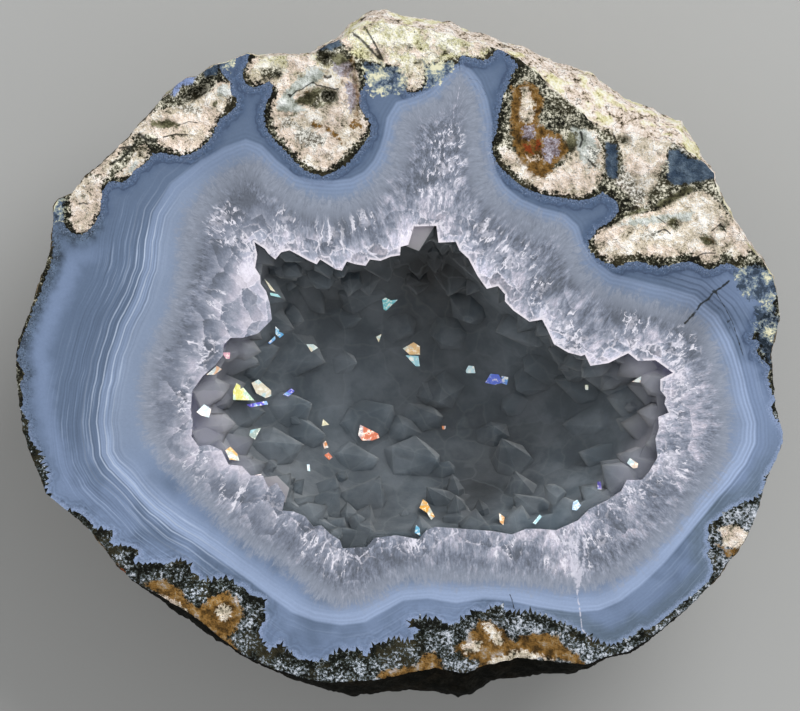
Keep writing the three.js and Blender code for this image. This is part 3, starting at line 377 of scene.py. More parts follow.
# Facets in the hollow with painted glints, whose material also glows a little: outline and painted colour
GLINTS = [
    ([(-19.5, 10.6), (-18.8, 9.9), (-17.9, 8.7), (-18.6, 9)], (226, 218, 190)),
    ([(-18.7, 8.6), (-17.6, 8.4), (-17.1, 7.9), (-18.6, 8.2)], (160, 205, 205)),
    ([(-18, 3.8), (-16.8, 2.6), (-17.4, 2.1), (-18, 2.7)], (96, 160, 205)),
    ([(-18.1, 2.4), (-18, 1.9), (-18.8, 1.2), (-19.1, 1.4)], (92, 140, 196)),
    ([(-13.6, 1.2), (-12.6, 1.2), (-11.9, 0.7), (-12.9, 0.1)], (220, 212, 190)),
    ([(-25.5, 0), (-24.3, 0), (-24.4, -0.9), (-24.9, -0.9)], (212, 160, 175)),
    ([(-27.7, -3.2), (-26.2, -1.9), (-25.5, -2.4), (-26.6, -3.2)], (196, 158, 128)),
    ([(-24, -5.5), (-23.5, -4.4), (-22.5, -5.1), (-21, -6.9), (-24, -6.8)], (206, 204, 120)),
    ([(-21.5, -4.4), (-20.5, -3.9), (-18.7, -5.5), (-18.7, -6.3), (-19.5, -6.6), (-20.8, -5.9)],
      (205, 198, 178)),
    ([(-22.2, -7.5), (-19.3, -7), (-19.1, -7.5), (-21.6, -7.9)], (100, 92, 190)),
    ([(-17, -6.1), (-15.8, -5.2), (-15.3, -5.6), (-16.2, -6.4)], (88, 92, 190)),
    ([(-29.1, -8.5), (-28, -7.4), (-27, -8.1), (-27.3, -9.3), (-28.4, -9)], (226, 214, 206)),
    ([(-21.8, -12), (-21.6, -11.2), (-20.1, -10.9), (-21, -12.6)], (150, 166, 160)),
    ([(-11.4, -10.7), (-11.2, -9.7), (-10.3, -10.5)], (196, 190, 160)),
    ([(-11.2, -13.2), (-10.8, -12.8), (-10.4, -13.8), (-11, -14)], (196, 130, 80)),
    ([(-11, -14.9), (-10.4, -14.5), (-9.8, -15.2), (-10.3, -15.6)], (190, 112, 84)),
    ([(-25, -14), (-24.3, -13.5), (-23.3, -14.5), (-23, -15.5), (-24.4, -15.3)], (208, 168, 112)),
    ([(-21, -17.6), (-19.9, -17.4), (-19.2, -18.2), (-18.7, -19.1), (-19.4, -19.4), (-20.1, -18.9)],
      (236, 220, 220)),
    ([(-13.5, -16.2), (-13.1, -16.2), (-13, -17.2), (-13.4, -17.1)], (214, 214, 214)),
    ([(-6.1, -12), (-5.8, -10.5), (-5, -10.9), (-3.2, -11.8), (-3, -12.4), (-4, -12.8), (-5.5, -12.8)],
      (196, 112, 84)),
    ([(6.1, -10.7), (6.7, -10.7), (6.6, -11.2), (6.2, -11.2)], (190, 120, 80)),
    ([(3.3, -21.2), (3.9, -21.6), (5, -23.6), (4.5, -24.1), (3.9, -23.1), (2.8, -22.4)], (204, 152, 72)),
    ([(2.3, -24.7), (2.8, -25.1), (2.9, -26.2), (2.1, -25.8)], (96, 160, 190)),
    ([(14.2, -23), (15, -23.6), (14.8, -24.7), (14.3, -24.3)], (196, 150, 104)),
    ([(19, -24.4), (20, -23.2), (20.3, -23.5), (19.4, -24.6)], (170, 206, 214)),
    ([(24.6, -22.5), (24.8, -21.4), (25.4, -21.1), (25.9, -21.9), (25.3, -22.6)], (160, 184, 206)),
    ([(28.3, -18.5), (28.8, -18.5), (28.9, -19.6), (28.3, -19.6)], (90, 84, 160)),
    ([(32.5, -15.8), (32.9, -15.1), (34.1, -15.9), (34, -16.5), (33.4, -16.6)], (204, 186, 170)),
    ([(33.2, -4.2), (34.5, -3.4), (34.4, -4.3)], (206, 190, 176)),
    ([(26.8, -4.7), (27.3, -4.7), (27.3, -5.4), (26.9, -5.4)], (190, 200, 176)),
    ([(-2.6, 7.7), (-2.1, 8), (-1.3, 7.6), (-0.3, 7.7), (-1.1, 7), (-2, 6.1), (-2.4, 6.3)],
      (112, 184, 190)),
    ([(-3.5, 2.3), (-2.7, 2.7), (-3.1, 1.5)], (214, 202, 170)),
    ([(0.4, 0.6), (2, 1.5), (2.9, 0.9), (2.9, -0.3), (1.4, -0.3)], (214, 178, 128)),
    ([(0.8, -0.4), (2.7, -0.5), (2.9, -2), (2.3, -2)], (150, 196, 206)),
    ([(9.6, -2.6), (10, -1.9), (10.8, -2), (11, -3), (9.7, -3)], (214, 220, 216)),
    ([(12.4, -4.4), (13.2, -3.1), (14.4, -3.2), (15, -4.4), (13.8, -4.7)], (92, 112, 204)),
    ([(14.8, -3.4), (15.8, -3.6), (15.6, -4.7), (14.9, -4.5)], (112, 150, 214)),
]

# Larger facets that stand lighter than the rest of the hollow, and by how much
PALE_FACETS = [
    ([(-0.1, 15.6), (1.8, 18.1), (4.6, 18.6), (4.9, 18), (2.7, 14.5)], 5.2),
    ([(-19.6, -17.9), (-17.6, -17.6), (-15.8, -19.4), (-16.4, -21.5), (-18.4, -20)], 5),
]
# Places in the cut quartz full of small white fractures, and how far each reaches
SPARKLES = [
    ((24.8, -27), 2.6), ((25, -30.5), 2.2), ((25.4, -33.6), 1.5), ((7, 30), 2.6), ((6.4, 26.6), 2.8),
    ((5, 23), 2.2), ((-26, 19), 2.8), ((-24, 16), 1.8), ((-22, 12), 1.6), ((-26, 7), 2), ((-29, 0.4), 2),
    ((-19.4, 15), 2.4), ((-9.3, -29.8), 2.2), ((-13, -27.6), 1.8), ((1, -27.8), 1.8), ((15.3, -28.5), 1.8),
    ((21.4, -30.4), 1.3), ((28.8, -26.8), 1.6), ((16, 13.5), 2.8), ((20, 9), 2), ((24, 4), 2),
    ((33, 4), 2.4), ((40, 1), 2.4), ((38, -9), 2), ((39, -16), 2.6), ((33, -20), 2.2), ((-30, -7), 2),
    ((-29, -17), 2.4), ((-24, -21), 2), ((-10, 17), 2.6), ((-5, 19), 2), ((12, 18), 2.4), ((41, -5), 1.8),
    ((-16, 19), 2),
]

# Where the cut quartz, the hollow, the wall and the rock are lighter or darker: x, y, reach and change
QUARTZ_TONES = [
    (-21, 19, 8, -0.28), (6, 30, 6, -0.2), (32, 5, 8, -0.3), (20, 12, 5, -0.2), (28, -27, 6, -0.1),
    (-10, -31, 7, -0.14), (41, 2, 7, -0.3), (-28, 6, 6, -0.1), (14, 14, 4, -0.03), (42, -16, 6, 0.06),
    (-1, 14, 6, -0.1), (-27.5, 0, 4, -0.5), (-32, -8, 4, -0.4), (-28, -23, 9, 0.14), (-9, 20, 9, -0.3),
    (6, 18, 6, -0.2), (16, -29, 4, -0.14), (-24, 24, 6, -0.35), (3, 25, 6, -0.3), (-4, -28, 6, -0.45),
    (33, 7, 5, -0.3), (22, 11, 5, -0.25), (44, 4, 5, -0.3), (35, -20, 5, -0.3), (14, 19, 5, -0.25),
    (-28, 13, 5, -0.25), (30, -1, 4, 0.1), (24, -31, 4, 0.4), (-24, 8, 4, 0.3), (-36, 10, 4, -0.3),
    (0, 17, 4, 0.25), (-28, -10, 4, 0.2), (24, 4, 5, -0.2), (-24, -19, 4, -0.3), (-32, -20, 4, 0.2),
    (4, -25, 3, -0.3), (-12, -26, 5, -0.25), (30, -24, 4, -0.15), (16, -28, 3, -0.15), (-8, 20, 6, -0.1),
    (20, 8, 4, -0.2), (-20, 20, 4, 0.15),
]
# In the hollow these spots are painted shade, deepest under the upper wall, and painted light on the slopes
# that face the lamp
HOLLOW_SHADE_AND_LIGHT = [
    (4, 10, 11, -0.42), (-8, 10, 8, -0.14), (13, -17, 11, -0.34), (-4, -24, 9, -0.4), (16, -3, 9, 0.28),
    (32, -8, 10, 0.5), (-28, -12, 7, 0.45), (-29, 0, 5, -0.3), (4, -8, 10, -0.16), (22, -25, 6, 0.6),
    (2, 13, 7, -0.4), (-27, -11, 5, 0.3), (10, -21, 8, -0.3), (5, -15, 6, -0.14), (20, -20, 5, -0.2),
    (-16, 8, 5, 0.2), (10, 12, 6, -0.35), (-4, 12, 5, -0.3), (14, -20, 7, -0.12), (24, -9, 6, 0.25),
    (12, -4, 4, 0.15), (16, -24, 5, 0.35), (28, -20, 5, 0.3), (32, -9, 7, 0.3), (6, 13, 6, -0.2),
    (-12, -8, 5, 0.15),
]
WALL_TONES = [
    (42, 7, 9, -0.26), (-24, 27, 8, -0.06), (-48, -27, 8, -0.08), (38, -38, 12, -0.05), (28, 11, 6, -0.12),
    (18, 20, 5, -0.1), (44, 6, 5, -0.14), (32, 9, 5, -0.14), (-36, -14, 5, 0.1), (-24, 25, 7, -0.08),
    (-36, 14, 5, 0.05),
]
ROCK_TONES = [
    (36, 18, 9, 0.18), (-31, 32, 8, 0.2), (1, 44, 9, 0.1), (-12, 33, 6, -0.1), (35, 24, 4, -0.25),
    (-6, 44, 4, 0.25), (2, -41, 4, 0.2), (-6, -44, 6, 0.4), (28, -41, 5, 0.2), (-27, -33, 6, 0.8),
    (52, 12, 3, -0.2), (-40, 28, 4, 0.2), (-16, 37, 4, 0.15),
]


def linear(red, green, blue):
    """A screen colour, 0 to 255, as Blender's linear one."""
    def channel(value):
        value /= 255
        return value / 12.92 if value <= 0.04045 else ((value + 0.055) / 1.055) ** 2.4
    return (channel(red), channel(green), channel(blue), 1.0)


def tint(name, description, red, green, blue):
    """A colour setting."""
    return bpy.props.FloatVectorProperty(
        name=name, description=description, subtype="COLOR", size=4, min=0, max=1,
        default=linear(red, green, blue),
    )


def length(name, description, default):
    """A length setting, in metres."""
    return bpy.props.FloatProperty(
        name=name, description=description, default=default, min=0, subtype="DISTANCE", unit="LENGTH",
    )


class WallSettings(bpy.types.PropertyGroup):
    """Sizes and colours of the agate wall and its rock."""
    face_grain: length("Face grain", "Spacing of the sawn face's points", 0.00042)
    edge_grain: length("Edge grain", "Spacing of the points round the sawn edge", 0.0005)
    back_relief: length("Back relief", "How deep the weathered back is pitted", 0.0007)
    pale: tint("Pale band", "The band next to the quartz", 150, 168, 200)
    mid: tint("Middle blue", "Chalcedony between the bands", 96, 113, 139)
    light: tint("Light blue", "Clearer outer chalcedony", 120, 138, 169)
    deep: tint("Deep blue", "Chalcedony against the rock", 66, 85, 114)
    line: tint("White line", "Fine pale lines in the wall", 184, 198, 220)
    cream: tint("Cream rock", "Altered host rock", 240, 226, 208)
    rind: tint("Rind", "Dark granular rind", 36, 38, 28)
    amber: tint("Amber rock", "Iron-stained rock", 142, 106, 54)


class LiningSettings(bpy.types.PropertyGroup):
    """Sizes and colours of the quartz lining."""
    face_grain: length("Face grain", "Spacing of the cut quartz's points", 0.00042)
    small_crystals: bpy.props.IntProperty(
        name="Small crystals", description="Small crystals between the large ones",
        default=75, min=0, max=400,
    )
    crystal_radius: length("Crystal radius", "Mean radius of the small crystals", 0.0013)
    grey: tint("Grey quartz", "Cut quartz near the wall", 140, 148, 164)
    milky: tint("Milky quartz", "Cut quartz near the hollow", 178, 177, 192)
    shade: tint("Quartz shade", "Clear patches that let the dark show", 96, 102, 114)
    smoke: tint("Smoke", "The darker crystals in the hollow", 108, 122, 133)
    mist: tint("Mist", "The lighter crystals in the hollow", 150, 161, 171)


class StageSettings(bpy.types.PropertyGroup):
    """The floor, the lights and the camera."""
    floor: tint("Floor", "Colour of the floor", 174, 175, 174)
    lens: bpy.props.FloatProperty(
        name="Lens", description="Focal length", default=350, min=50, unit="CAMERA",
    )
    picture_width: length("Picture width", "Width of the picture at the sawn face", 0.8 / 7)
    lamp_power: bpy.props.FloatProperty(
        name="Lamp power", description="Power of the soft lamp", default=6, min=0, unit="POWER",
    )
    sky: bpy.props.FloatProperty(
        name="Sky", description="Strength of the even light from all round", default=0.62, min=0,
    )


# Flat geometry, in millimetres

def in_batches(points):
    """The points' numbers in groups, small enough to spare memory."""
    return np.array_split(np.arange(len(points)), len(points) // BATCH + 1)


def distance_to(points, path, closed):
    """Each point's distance to a path."""
    path = np.array(path, float)
    starts = path if closed else path[:-1]
    along = (np.roll(path, -1, axis=0) if closed else path[1:]) - starts
    squared = np.maximum((along ** 2).sum(1), TINY)
    least = np.empty(len(points))
    for part in in_batches(points):
        away = points[part, None] - starts
        share = np.clip((away * along).sum(2) / squared, 0, 1)
        least[part] = np.sqrt(((away - share[..., None] * along) ** 2).sum(2).min(1))
    return least


def is_inside(points, outline):
    """Whether each point is inside a closed outline."""
    outline = np.array(outline, float)
    x, y = points.T
    inside = np.zeros(len(points), bool)
    for (ax, ay), (bx, by) in zip(outline, np.roll(outline, -1, axis=0)):
        crosses = (ay > y) != (by > y)
        inside ^= crosses & (x < (bx - ax) * (y - ay) / (by - ay + TINY) + ax)
    return inside


def depth_inside(points, outline):
    """Distance to a closed outline, positive inside it."""
    return np.where(is_inside(points, outline), 1, -1) * distance_to(points, outline, True)


def resampled(path, step, closed):
    """Points at even steps along a path, its own corners kept."""
    path = [np.array(p, float) for p in path]
    made = []
    for start, end in zip(path, path[1:] + path[:1] if closed else path[1:]):
        pieces = max(1, round(np.linalg.norm(end - start) / step))
        made += [start + (end - start) * i / pieces for i in range(pieces)]
    return np.array(made if closed else made + [path[-1]])


def in_ring(points, loops):
    """Whether each point lies in the area between nested loops."""
    inside = np.zeros(len(points), bool)
    for loop in loops:
        inside ^= is_inside(points, loop)
    return inside


def fine_face(loops, marks, grain, seed):
    """Points and triangles of the flat area between nested loops, with corners along each mark."""
    # As shares of the grain: how far a point strays from its grid, and the room left at edges and marks
    stray, edge_room, mark_edge_room, mark_room = 0.28, 0.5, 0.6, 0.45
    merged, least_area = 1e-5, 1e-4

    rng = np.random.default_rng(seed)
    low, high = np.min(loops[0], axis=0), np.max(loops[0], axis=0)
    columns, rows = (int(n) + 1 for n in (high - low) / grain)
    grid = np.stack(np.meshgrid(np.arange(columns), np.arange(rows), indexing="ij"), -1).reshape(-1, 2)
    points = low + (grid + rng.uniform(-stray, stray, grid.shape)) * grain
    points = points[in_ring(points, loops)]
    for loop in loops:
        points = points[distance_to(points, loop, True) > grain * edge_room]
    corners, edges = [], []
    for loop in loops:
        first = len(corners)
        corners += list(loop)
        edges += [(first + i, first + (i + 1) % len(loop)) for i in range(len(loop))]
    for path in marks:
        line = resampled(path, grain, False)
        kept = in_ring(line, loops)
        for loop in loops:
            kept &= distance_to(line, loop, True) > grain * mark_edge_room
        for i in range(len(line)):
            if kept[i]:
                corners.append(line[i])
                if i and kept[i - 1]:
                    edges.append((len(corners) - 2, len(corners) - 1))
        if kept.any():
            points = points[distance_to(points, path, False) > grain * mark_room]

    flat = [Vector(p) for p in corners + list(points)]
    made = delaunay_2d_cdt(flat, edges, [], 0, merged)
    found = np.array([tuple(p) for p in made[0]])
    triangles = np.array(made[2])
    a, b, c = (found[triangles[:, i]] for i in range(3))
    real = np.abs((b - a)[:, 0] * (c - a)[:, 1] - (b - a)[:, 1] * (c - a)[:, 0]) > least_area
    return found, triangles[real & in_ring((a + b + c) / 3, loops)]


# Solids

def welded(name):
    """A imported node's mesh with shared corners."""
    solid = bmesh.new()
    solid.from_mesh(frame["nodes"][name].data)
    bmesh.ops.remove_doubles(solid, verts=solid.verts, dist=SAME_PLACE)
    return solid


def on_face(face):
    """Whether a mesh face is part of the flat sawn face."""
    return all(abs(v.co.z - FACE_HEIGHT) < NEAR_FACE for v in face.verts)


def split_edges(solid, grain):
    """Splits the edges round the sawn face, so that its colours can change along them."""
    for edge in [edge for edge in solid.edges if sum(map(on_face, edge.link_faces)) == 1]:
        corner = edge.verts[0]
        for parts in range(int(edge.calc_length() / grain) + 1, 1, -1):
            corner = bmesh.utils.edge_split(edge, corner, 1 / parts)[1]
    for face in [face for face in solid.faces if len(face.verts) > 3 and not on_face(face)]:
        corners = list(face.verts)
        lowest = min(range(len(corners)), key=lambda i: corners[i].co.z)
        corners = corners[lowest:] + corners[:lowest]
        for a, b in zip(corners[1:], corners[2:]):
            solid.faces.new((corners[0], a, b))
        solid.faces.remove(face)
    solid.normal_update()


def face_loops(solid):
    """The closed outlines of the sawn face, in millimetres, the longest first."""
    following = {}
    for face in filter(on_face, solid.faces):
        for corner in face.loops:
            if not on_face(corner.link_loop_radial_next.face):
                following[corner.vert] = corner.link_loop_next.vert
    loops = []
    while following:
        vert = next(iter(following))
        loop = []
        while vert in following:
            loop.append((vert.co.x / MM, vert.co.y / MM))
            vert = following.pop(vert)
        loops.append(np.array(loop))
    return sorted(loops, key=lambda loop: -np.abs(np.diff(loop, axis=0)).sum())


def mesh_of(name, points, faces):
    """A new object from points, in metres, and faces."""
    mesh = bpy.data.meshes.new(name)
    mesh.from_pydata(points, [], faces)
    piece = bpy.data.objects.new(name, mesh)
    bpy.context.scene.collection.objects.link(piece)
    return piece


def keep(mesh, name, values):
    """Stores a number, or three, for each point of a mesh."""
    values = np.array(values, np.float32)
    kind, field = ("FLOAT_VECTOR", "vector") if values.ndim == 2 else ("FLOAT", "value")
    mesh.attributes.new(name, kind, "POINT").data.foreach_set(field, values.ravel())


def keep_on_faces(mesh, name, values):
    """Stores a number for each face of a mesh."""
    layer = mesh.attributes.new(name, "FLOAT", "FACE")
    layer.data.foreach_set("value", np.array(values, np.float32))


def seen_from_above(points):
    """Where each point, in metres, lies over the floor, in millimetres."""
    return np.array([point.xy for point in points]) / MM


def mark_strength(points, marks):
    """How strongly the nearest narrow mark shows at each point: most on its line, 0 or less outside it."""
    strength = np.full(len(points), -3.0)
    for path, half, plain in marks:
        strength = np.maximum(strength, plain - distance_to(points, path, False) / half)
    return strength


def edge_means(points, edge, values, softness, power):
    """For each point the mean of values kept along an edge, those of its nearest stretch counting most."""
    means = np.empty((len(points), values.shape[1]))
    for part in in_batches(points):
        squared = ((points[part, None] - edge) ** 2).sum(2)
        weights = 1 / (squared + softness) ** power
        means[part] = (weights[..., None] * values).sum(1) / weights.sum(1)[:, None]
    return means


def fibre_places(points, quartz_edge):
    """For each point a smooth place round the quartz's edge, on a circle as long as the edge."""
    edge = resampled(quartz_edge, EDGE_STEP, True)
    angles = np.linspace(0, 2 * math.pi, len(edge), endpoint=False)
    around = edge_means(points, edge, np.stack([np.cos(angles), np.sin(angles)], 1), 0.05, 3)
    around /= np.linalg.norm(around, axis=1)[:, None]
    return around * len(edge) / (2 * math.pi)


def root_places(points, quartz_edge):
    """For each point the place on the quartz's edge that it grew from, in millimetres."""
    edge = resampled(quartz_edge, EDGE_STEP, True)
    roots = edge_means(points, edge, edge, 0.3, 2)
    return np.column_stack([roots, np.full(len(points), FACE_HEIGHT / MM)])


def toothed(path):
    """The rock's outline with small pointed teeth into the chalcedony, longest low on the face."""
    spacing, upper, fade = 0.4, 4, 22
    rng = random.Random(7)
    outline = resampled(path, spacing, True)
    along = np.roll(outline, -1, axis=0) - np.roll(outline, 1, axis=0)
    made = []
    for i, (x, y) in enumerate(outline):
        out = np.array([along[i][1], -along[i][0]]) / np.linalg.norm(along[i])
        low = min(1, max(0, (upper - y) / fade))
        clump = max(0, 0.5 + 1.1 * rough_at((x, y, 9), 4))
        reach = (0.22 + 0.5 * low) * clump * rng.uniform(0.5, 1.6) if i % 2 else -0.12 * rng.random()
        lean = along[i] / np.linalg.norm(along[i]) * rng.uniform(-0.25, 0.25)
        made.append(np.array([x, y]) + out * reach + lean)
    return np.array(made)


def keep_bands(mesh, points, quartz_edge):
    """Stores how far each point is from the pale line, the rock and the quartz's edge, and its marks."""
    inward = depth_inside(points, quartz_edge)
    keep(mesh, "from_pale", -depth_inside(points, PALE_LINE))
    keep(mesh, "from_rock", depth_inside(points, ROCK_EDGE))
    keep(mesh, "inward", inward)
    keep(mesh, "fibre", np.column_stack([fibre_places(points, quartz_edge), inward]))
    keep(mesh, "crack", mark_strength(points, CRACKS))
    keep(mesh, "stain", mark_strength(points, STAINS))
    keep(mesh, "vein", mark_strength(points, VEINS))


# Node materials, with places and lengths in millimetres

def add_node(tree, kind, inputs, output=0, **options):
    """Adds a node with its inputs, by name or number, and gives one of its outputs."""
    node = tree.nodes.new("ShaderNode" + kind)
    for name, value in options.items():
        setattr(node, name, value)
    for key, value in inputs.items():
        if isinstance(value, bpy.types.NodeSocket):
            tree.links.new(value, node.inputs[key])
        elif value is not None:
            node.inputs[key].default_value = value
    return node.outputs[output]


def fed(kind, inputs, output=0, **options):
    """Adds a node to the material that its inputs come from."""
    tree = next(value.id_data for value in inputs.values() if isinstance(value, bpy.types.NodeSocket))
    return add_node(tree, kind, inputs, output, **options)


def scaled(vector, factors):
    return fed("VectorMath", {0: vector, 1: factors}, operation="MULTIPLY")


def shifted(first, second):
    return fed("VectorMath", {0: first, 1: second}, operation="ADD")


def maths(operation, a, b=None, c=None):
    return fed("Math", {0: a, 1: b, 2: c}, operation=operation)


def times(*factors):
    product = factors[0]
    for factor in factors[1:]:
        product = maths("MULTIPLY", product, factor)
    return product


def plus(*terms):
    total = terms[0]
    for term in terms[1:]:
        total = maths("ADD", total, term)
    return total


def sway(value, amount):
    """A 0 to 1 value turned into one that sways by amount, evenly either way."""
    return maths("MULTIPLY_ADD", value, 2 * amount, -amount)


def step(value, low, high):
    """0 below low and 1 above high, smooth between; low may be the higher."""
    if low > high:
        return maths("SUBTRACT", 1.0, step(value, high, low))
    inputs = {"Value": value, "From Min": low, "From Max": high}
    return fed("MapRange", inputs, interpolation_type="SMOOTHSTEP")


def ridge(value, middle, half):
    """1 where the value is at middle, falling to 0 a half width away."""
    return step(maths("ABSOLUTE", maths("SUBTRACT", value, middle)), half, 0.0)


def waves(value, period):
    """A sine of the value, from -1 to 1."""
    return maths("SINE", maths("MULTIPLY", value, 2 * math.pi / period))


def cells(size, vector, output, feature="F1"):
    return fed("TexVoronoi", {"Vector": vector, "Scale": 1 / size}, output, feature=feature)


def cell_looks(size, vector, channel=0):
    """Each cell's own tone, and how far a place is from its cell's side."""
    tone = fed("SeparateColor", {0: cells(size, vector, "Color")}, channel)
    return tone, cells(size, vector, "Distance", "DISTANCE_TO_EDGE")


def shade(colour):
    """A colour as a node takes it: three numbers are a screen colour."""
    return linear(*colour) if isinstance(colour, tuple) else colour


def mix(colour, over, *shares):
    """A colour with another over it, as strongly as the shares multiplied together."""
    return fed("Mix", {0: times(*shares), 6: shade(colour), 7: shade(over)}, 2, data_type="RGBA")


def blended(share, a, b):
    return fed("Mix", {0: share, 2: a, 3: b}, 0, data_type="FLOAT")


def ramp(value, stops):
    """Colours at positions along a value, blended between them."""
    node = value.id_data.nodes.new("ShaderNodeValToRGB")
    elements = node.color_ramp.elements
    while len(elements) < len(stops):
        elements.new(0.5)
    for element, (position, colour) in zip(elements, stops):
        element.position = position
        element.color = shade(colour)
    value.id_data.links.new(value, node.inputs[0])
    return node.outputs[0]


def relief(height, depth, normal=None):
    return fed("Bump", {"Height": height, "Strength": 1.0, "Distance": depth * MM, "Normal": normal})


class Finish:
    """A material that is being built."""

    def __init__(self, name):
        self.material = bpy.data.materials.new(name)
        self.material.use_nodes = True
        self.tree = self.material.node_tree
        self.tree.nodes.clear()
        self.output = self.tree.nodes.new("ShaderNodeOutputMaterial")
        self.place = scaled(self.put("TexCoord", {}, "Object"), (1 / MM,) * 3)
        self.x, self.y = (fed("SeparateXYZ", {0: self.place}, axis) for axis in (0, 1))

    def put(self, kind, inputs, output=0, **options):
        return add_node(self.tree, kind, inputs, output, **options)

    def value(self, name):
        return self.put("Attribute", {}, "Fac", attribute_name=name)

    def vector(self, name):
        return self.put("Attribute", {}, "Vector", attribute_name=name)

    def noise(self, size, vector=None, detail=2.0, rough=0.5):
        return self.put("TexNoise", {
            "Vector": vector or self.place, "Scale": 1 / size, "Detail": detail, "Roughness": rough,
        }, "Fac")

    def toned(self, colour, factor):
        """A colour made lighter or darker."""
        grey = self.put("CombineColor", {0: factor, 1: factor, 2: factor})
        inputs = {0: 1.0, 6: shade(colour), 7: grey}
        return self.put("Mix", inputs, 2, data_type="RGBA", blend_type="MULTIPLY")

    def clouded(self, spots):
        """A change in tone, strongest at each spot and gone at its reach from there."""
        total = 0.0
        over = scaled(self.place, (1, 1, 0))
        for x, y, reach, change in spots:
            far = fed("VectorMath", {0: over, 1: (x, y, 0)}, "Value", operation="DISTANCE")
            total = plus(total, times(step(far, reach, 0), change))
        return total

    def surface(self, colour, roughness, normal=None, shine=0.5, **fixed):
        shader = self.put("BsdfPrincipled", {
            "Base Color": colour, "Roughness": roughness, "Normal": normal, "Specular IOR Level": shine,
            **fixed,
        })
        self.tree.links.new(shader, self.output.inputs["Surface"])
        return self.material


class WallParts:
    """Parts of the chalcedony that are banded in their own ways, each from 0 to 1 over the face."""

    def __init__(self, finish):
        self.left = step(finish.x, -20, -34)
        self.elsewhere = maths("SUBTRACT", 1.0, self.left)
        self.low = step(finish.y, -8, -22)
        self.right = step(finish.x, 36, 46)
        self.lobed = step(plus(finish.y, times(finish.x, 0.25)), 4, 12)
        self.slow = finish.noise(7)


def outer_blue(finish, wall, parts):
    """The chalcedony's colour by its distance from the rock, before any band is drawn."""
    from_pale, slow = finish.value("from_pale"), parts.slow
    wave = finish.noise(1.4, detail=3)
    waved = plus(finish.value("from_rock"), sway(wave, 0.7), sway(slow, 0.6))

    outside_left = times(ridge(waved, 2.8, 2.6), step(finish.x, -38, -46), step(finish.y, 17, 12))
    light = maths("MAXIMUM", outside_left, times(parts.low, step(slow, 0.34, 0.58), 0.8))
    light = maths("MAXIMUM", light, times(parts.right, step(slow, 0.3, 0.55)))
    colour = mix(wall.mid, wall.light, light)
    outer = times(step(from_pale, 1.5, 4.5), step(slow, 0.3, 0.6), parts.elsewhere)
    colour = mix(colour, wall.deep, outer, 0.25)
    near_lobe = times(step(waved, 2.4, 0.4), parts.lobed)
    colour = mix(colour, wall.deep, near_lobe, 0.75)

    frost = finish.noise(0.5, rough=0.7)
    frosted = times(step(waved, 1.3, 0.8), step(plus(parts.lobed, parts.left), 0.4, 1.0))
    colour = finish.toned(colour, plus(1.0, times(frosted, sway(frost, 0.7))))
    seam = times(ridge(waved, 1.15, 0.26), parts.lobed, step(finish.noise(5.0), 0.34, 0.5))
    colour = mix(colour, (46, 58, 84), seam, 0.5)
    rim = times(step(waved, 2.3, 0.5), step(parts.lobed, 1.0, 0.0), parts.left, step(finish.y, -10, 2))
    rim_tone = plus(0.95, sway(frost, 0.7), sway(wave, 1.4))
    colour = mix(colour, finish.toned((78, 93, 112), rim_tone), rim, 0.85)
    contour = times(waves(plus(waved, sway(wave, 0.5)), 0.9), step(waved, 3.0, 0.5))
    colour = finish.toned(colour, plus(1.0, times(contour, parts.low, 0.12)))
    greyed = times(step(waved, 3.4, 1.6), parts.low, step(finish.x, 16, 24), 0.6)
    return mix(colour, (90, 105, 118), greyed)


def pale_band(finish, wall, parts, colour):
    """The colour with the pale band next to the quartz, and the haze inside it."""
    from_pale = finish.value("from_pale")
    reach = blended(parts.left, 2.4, 3.2)
    inner_fade = step(maths("DIVIDE", from_pale, reach), -1.5, -0.2)
    pale = times(inner_fade, step(from_pale, 0.5, -0.05))
    strength = plus(0.5, times(parts.low, 0.42), times(parts.right, 0.25))
    colour = mix(colour, wall.pale, maths("MINIMUM", times(pale, strength), 1.0))
    not_low = maths("SUBTRACT", 1.0, parts.low)
    halo = times(step(from_pale, -0.6, -2.4), not_low, blended(parts.left, 0.5, 0.85))
    return mix(colour, (136, 151, 176), halo)


def fine_bands(finish, wall, parts, colour):
    """The colour with the white lines, the fine threads and the folds that follow the pale line."""
    from_pale, slow = finish.value("from_pale"), parts.slow
    drifted = plus(from_pale, sway(slow, 0.5), sway(finish.noise(1.8), 0.05))
    fading = step(finish.y, 25, 15)
    uneven = plus(0.5, times(finish.noise(2.6, detail=1), 0.9))
    bright = times(
        step(waves(plus(drifted, -0.18), 1.06), 0.66, 0.98), ridge(from_pale, 0.1, 3.6),
        parts.left, uneven, plus(0.12, times(fading, 0.88)),
    )
    colour = mix(colour, wall.line, maths("MINIMUM", times(bright, 0.72), 1.0))

    along = fed("CombineXYZ", {0: drifted, 1: times(finish.x, 0.03), 2: times(finish.y, 0.03)})
    threads = finish.noise(0.26, along, detail=1)
    spread = times(step(from_pale, -3.4, -1.2), step(from_pale, 9.0, 3.5))
    shown = plus(times(parts.left, fading), times(parts.elsewhere, plus(parts.low, parts.right), 0.25))
    fine = times(spread, shown)
    ripple = plus(
        sway(threads, 0.38), times(waves(drifted, 0.44), 0.06),
        times(waves(drifted, 0.33), parts.left, 0.06),
    )
    colour = finish.toned(colour, plus(1.0, times(ripple, fine)))
    colour = mix(colour, wall.line, step(threads, 0.6, 0.72), fine, 0.25)

    faint = times(waves(drifted, 0.58), ridge(from_pale, -0.2, 2.8), parts.elsewhere)
    plain = plus(0.035, times(parts.right, 0.1), times(parts.lobed, 0.04))
    colour = finish.toned(colour, plus(1.0, times(faint, plain)))
    folds = times(
        step(waves(drifted, 0.82), 0.1, 1.0), ridge(from_pale, 2.0, 3.0),
        step(finish.x, 33, 40), step(finish.y, -2, 5), uneven,
    )
    return mix(colour, (56, 70, 92), folds, 0.5)


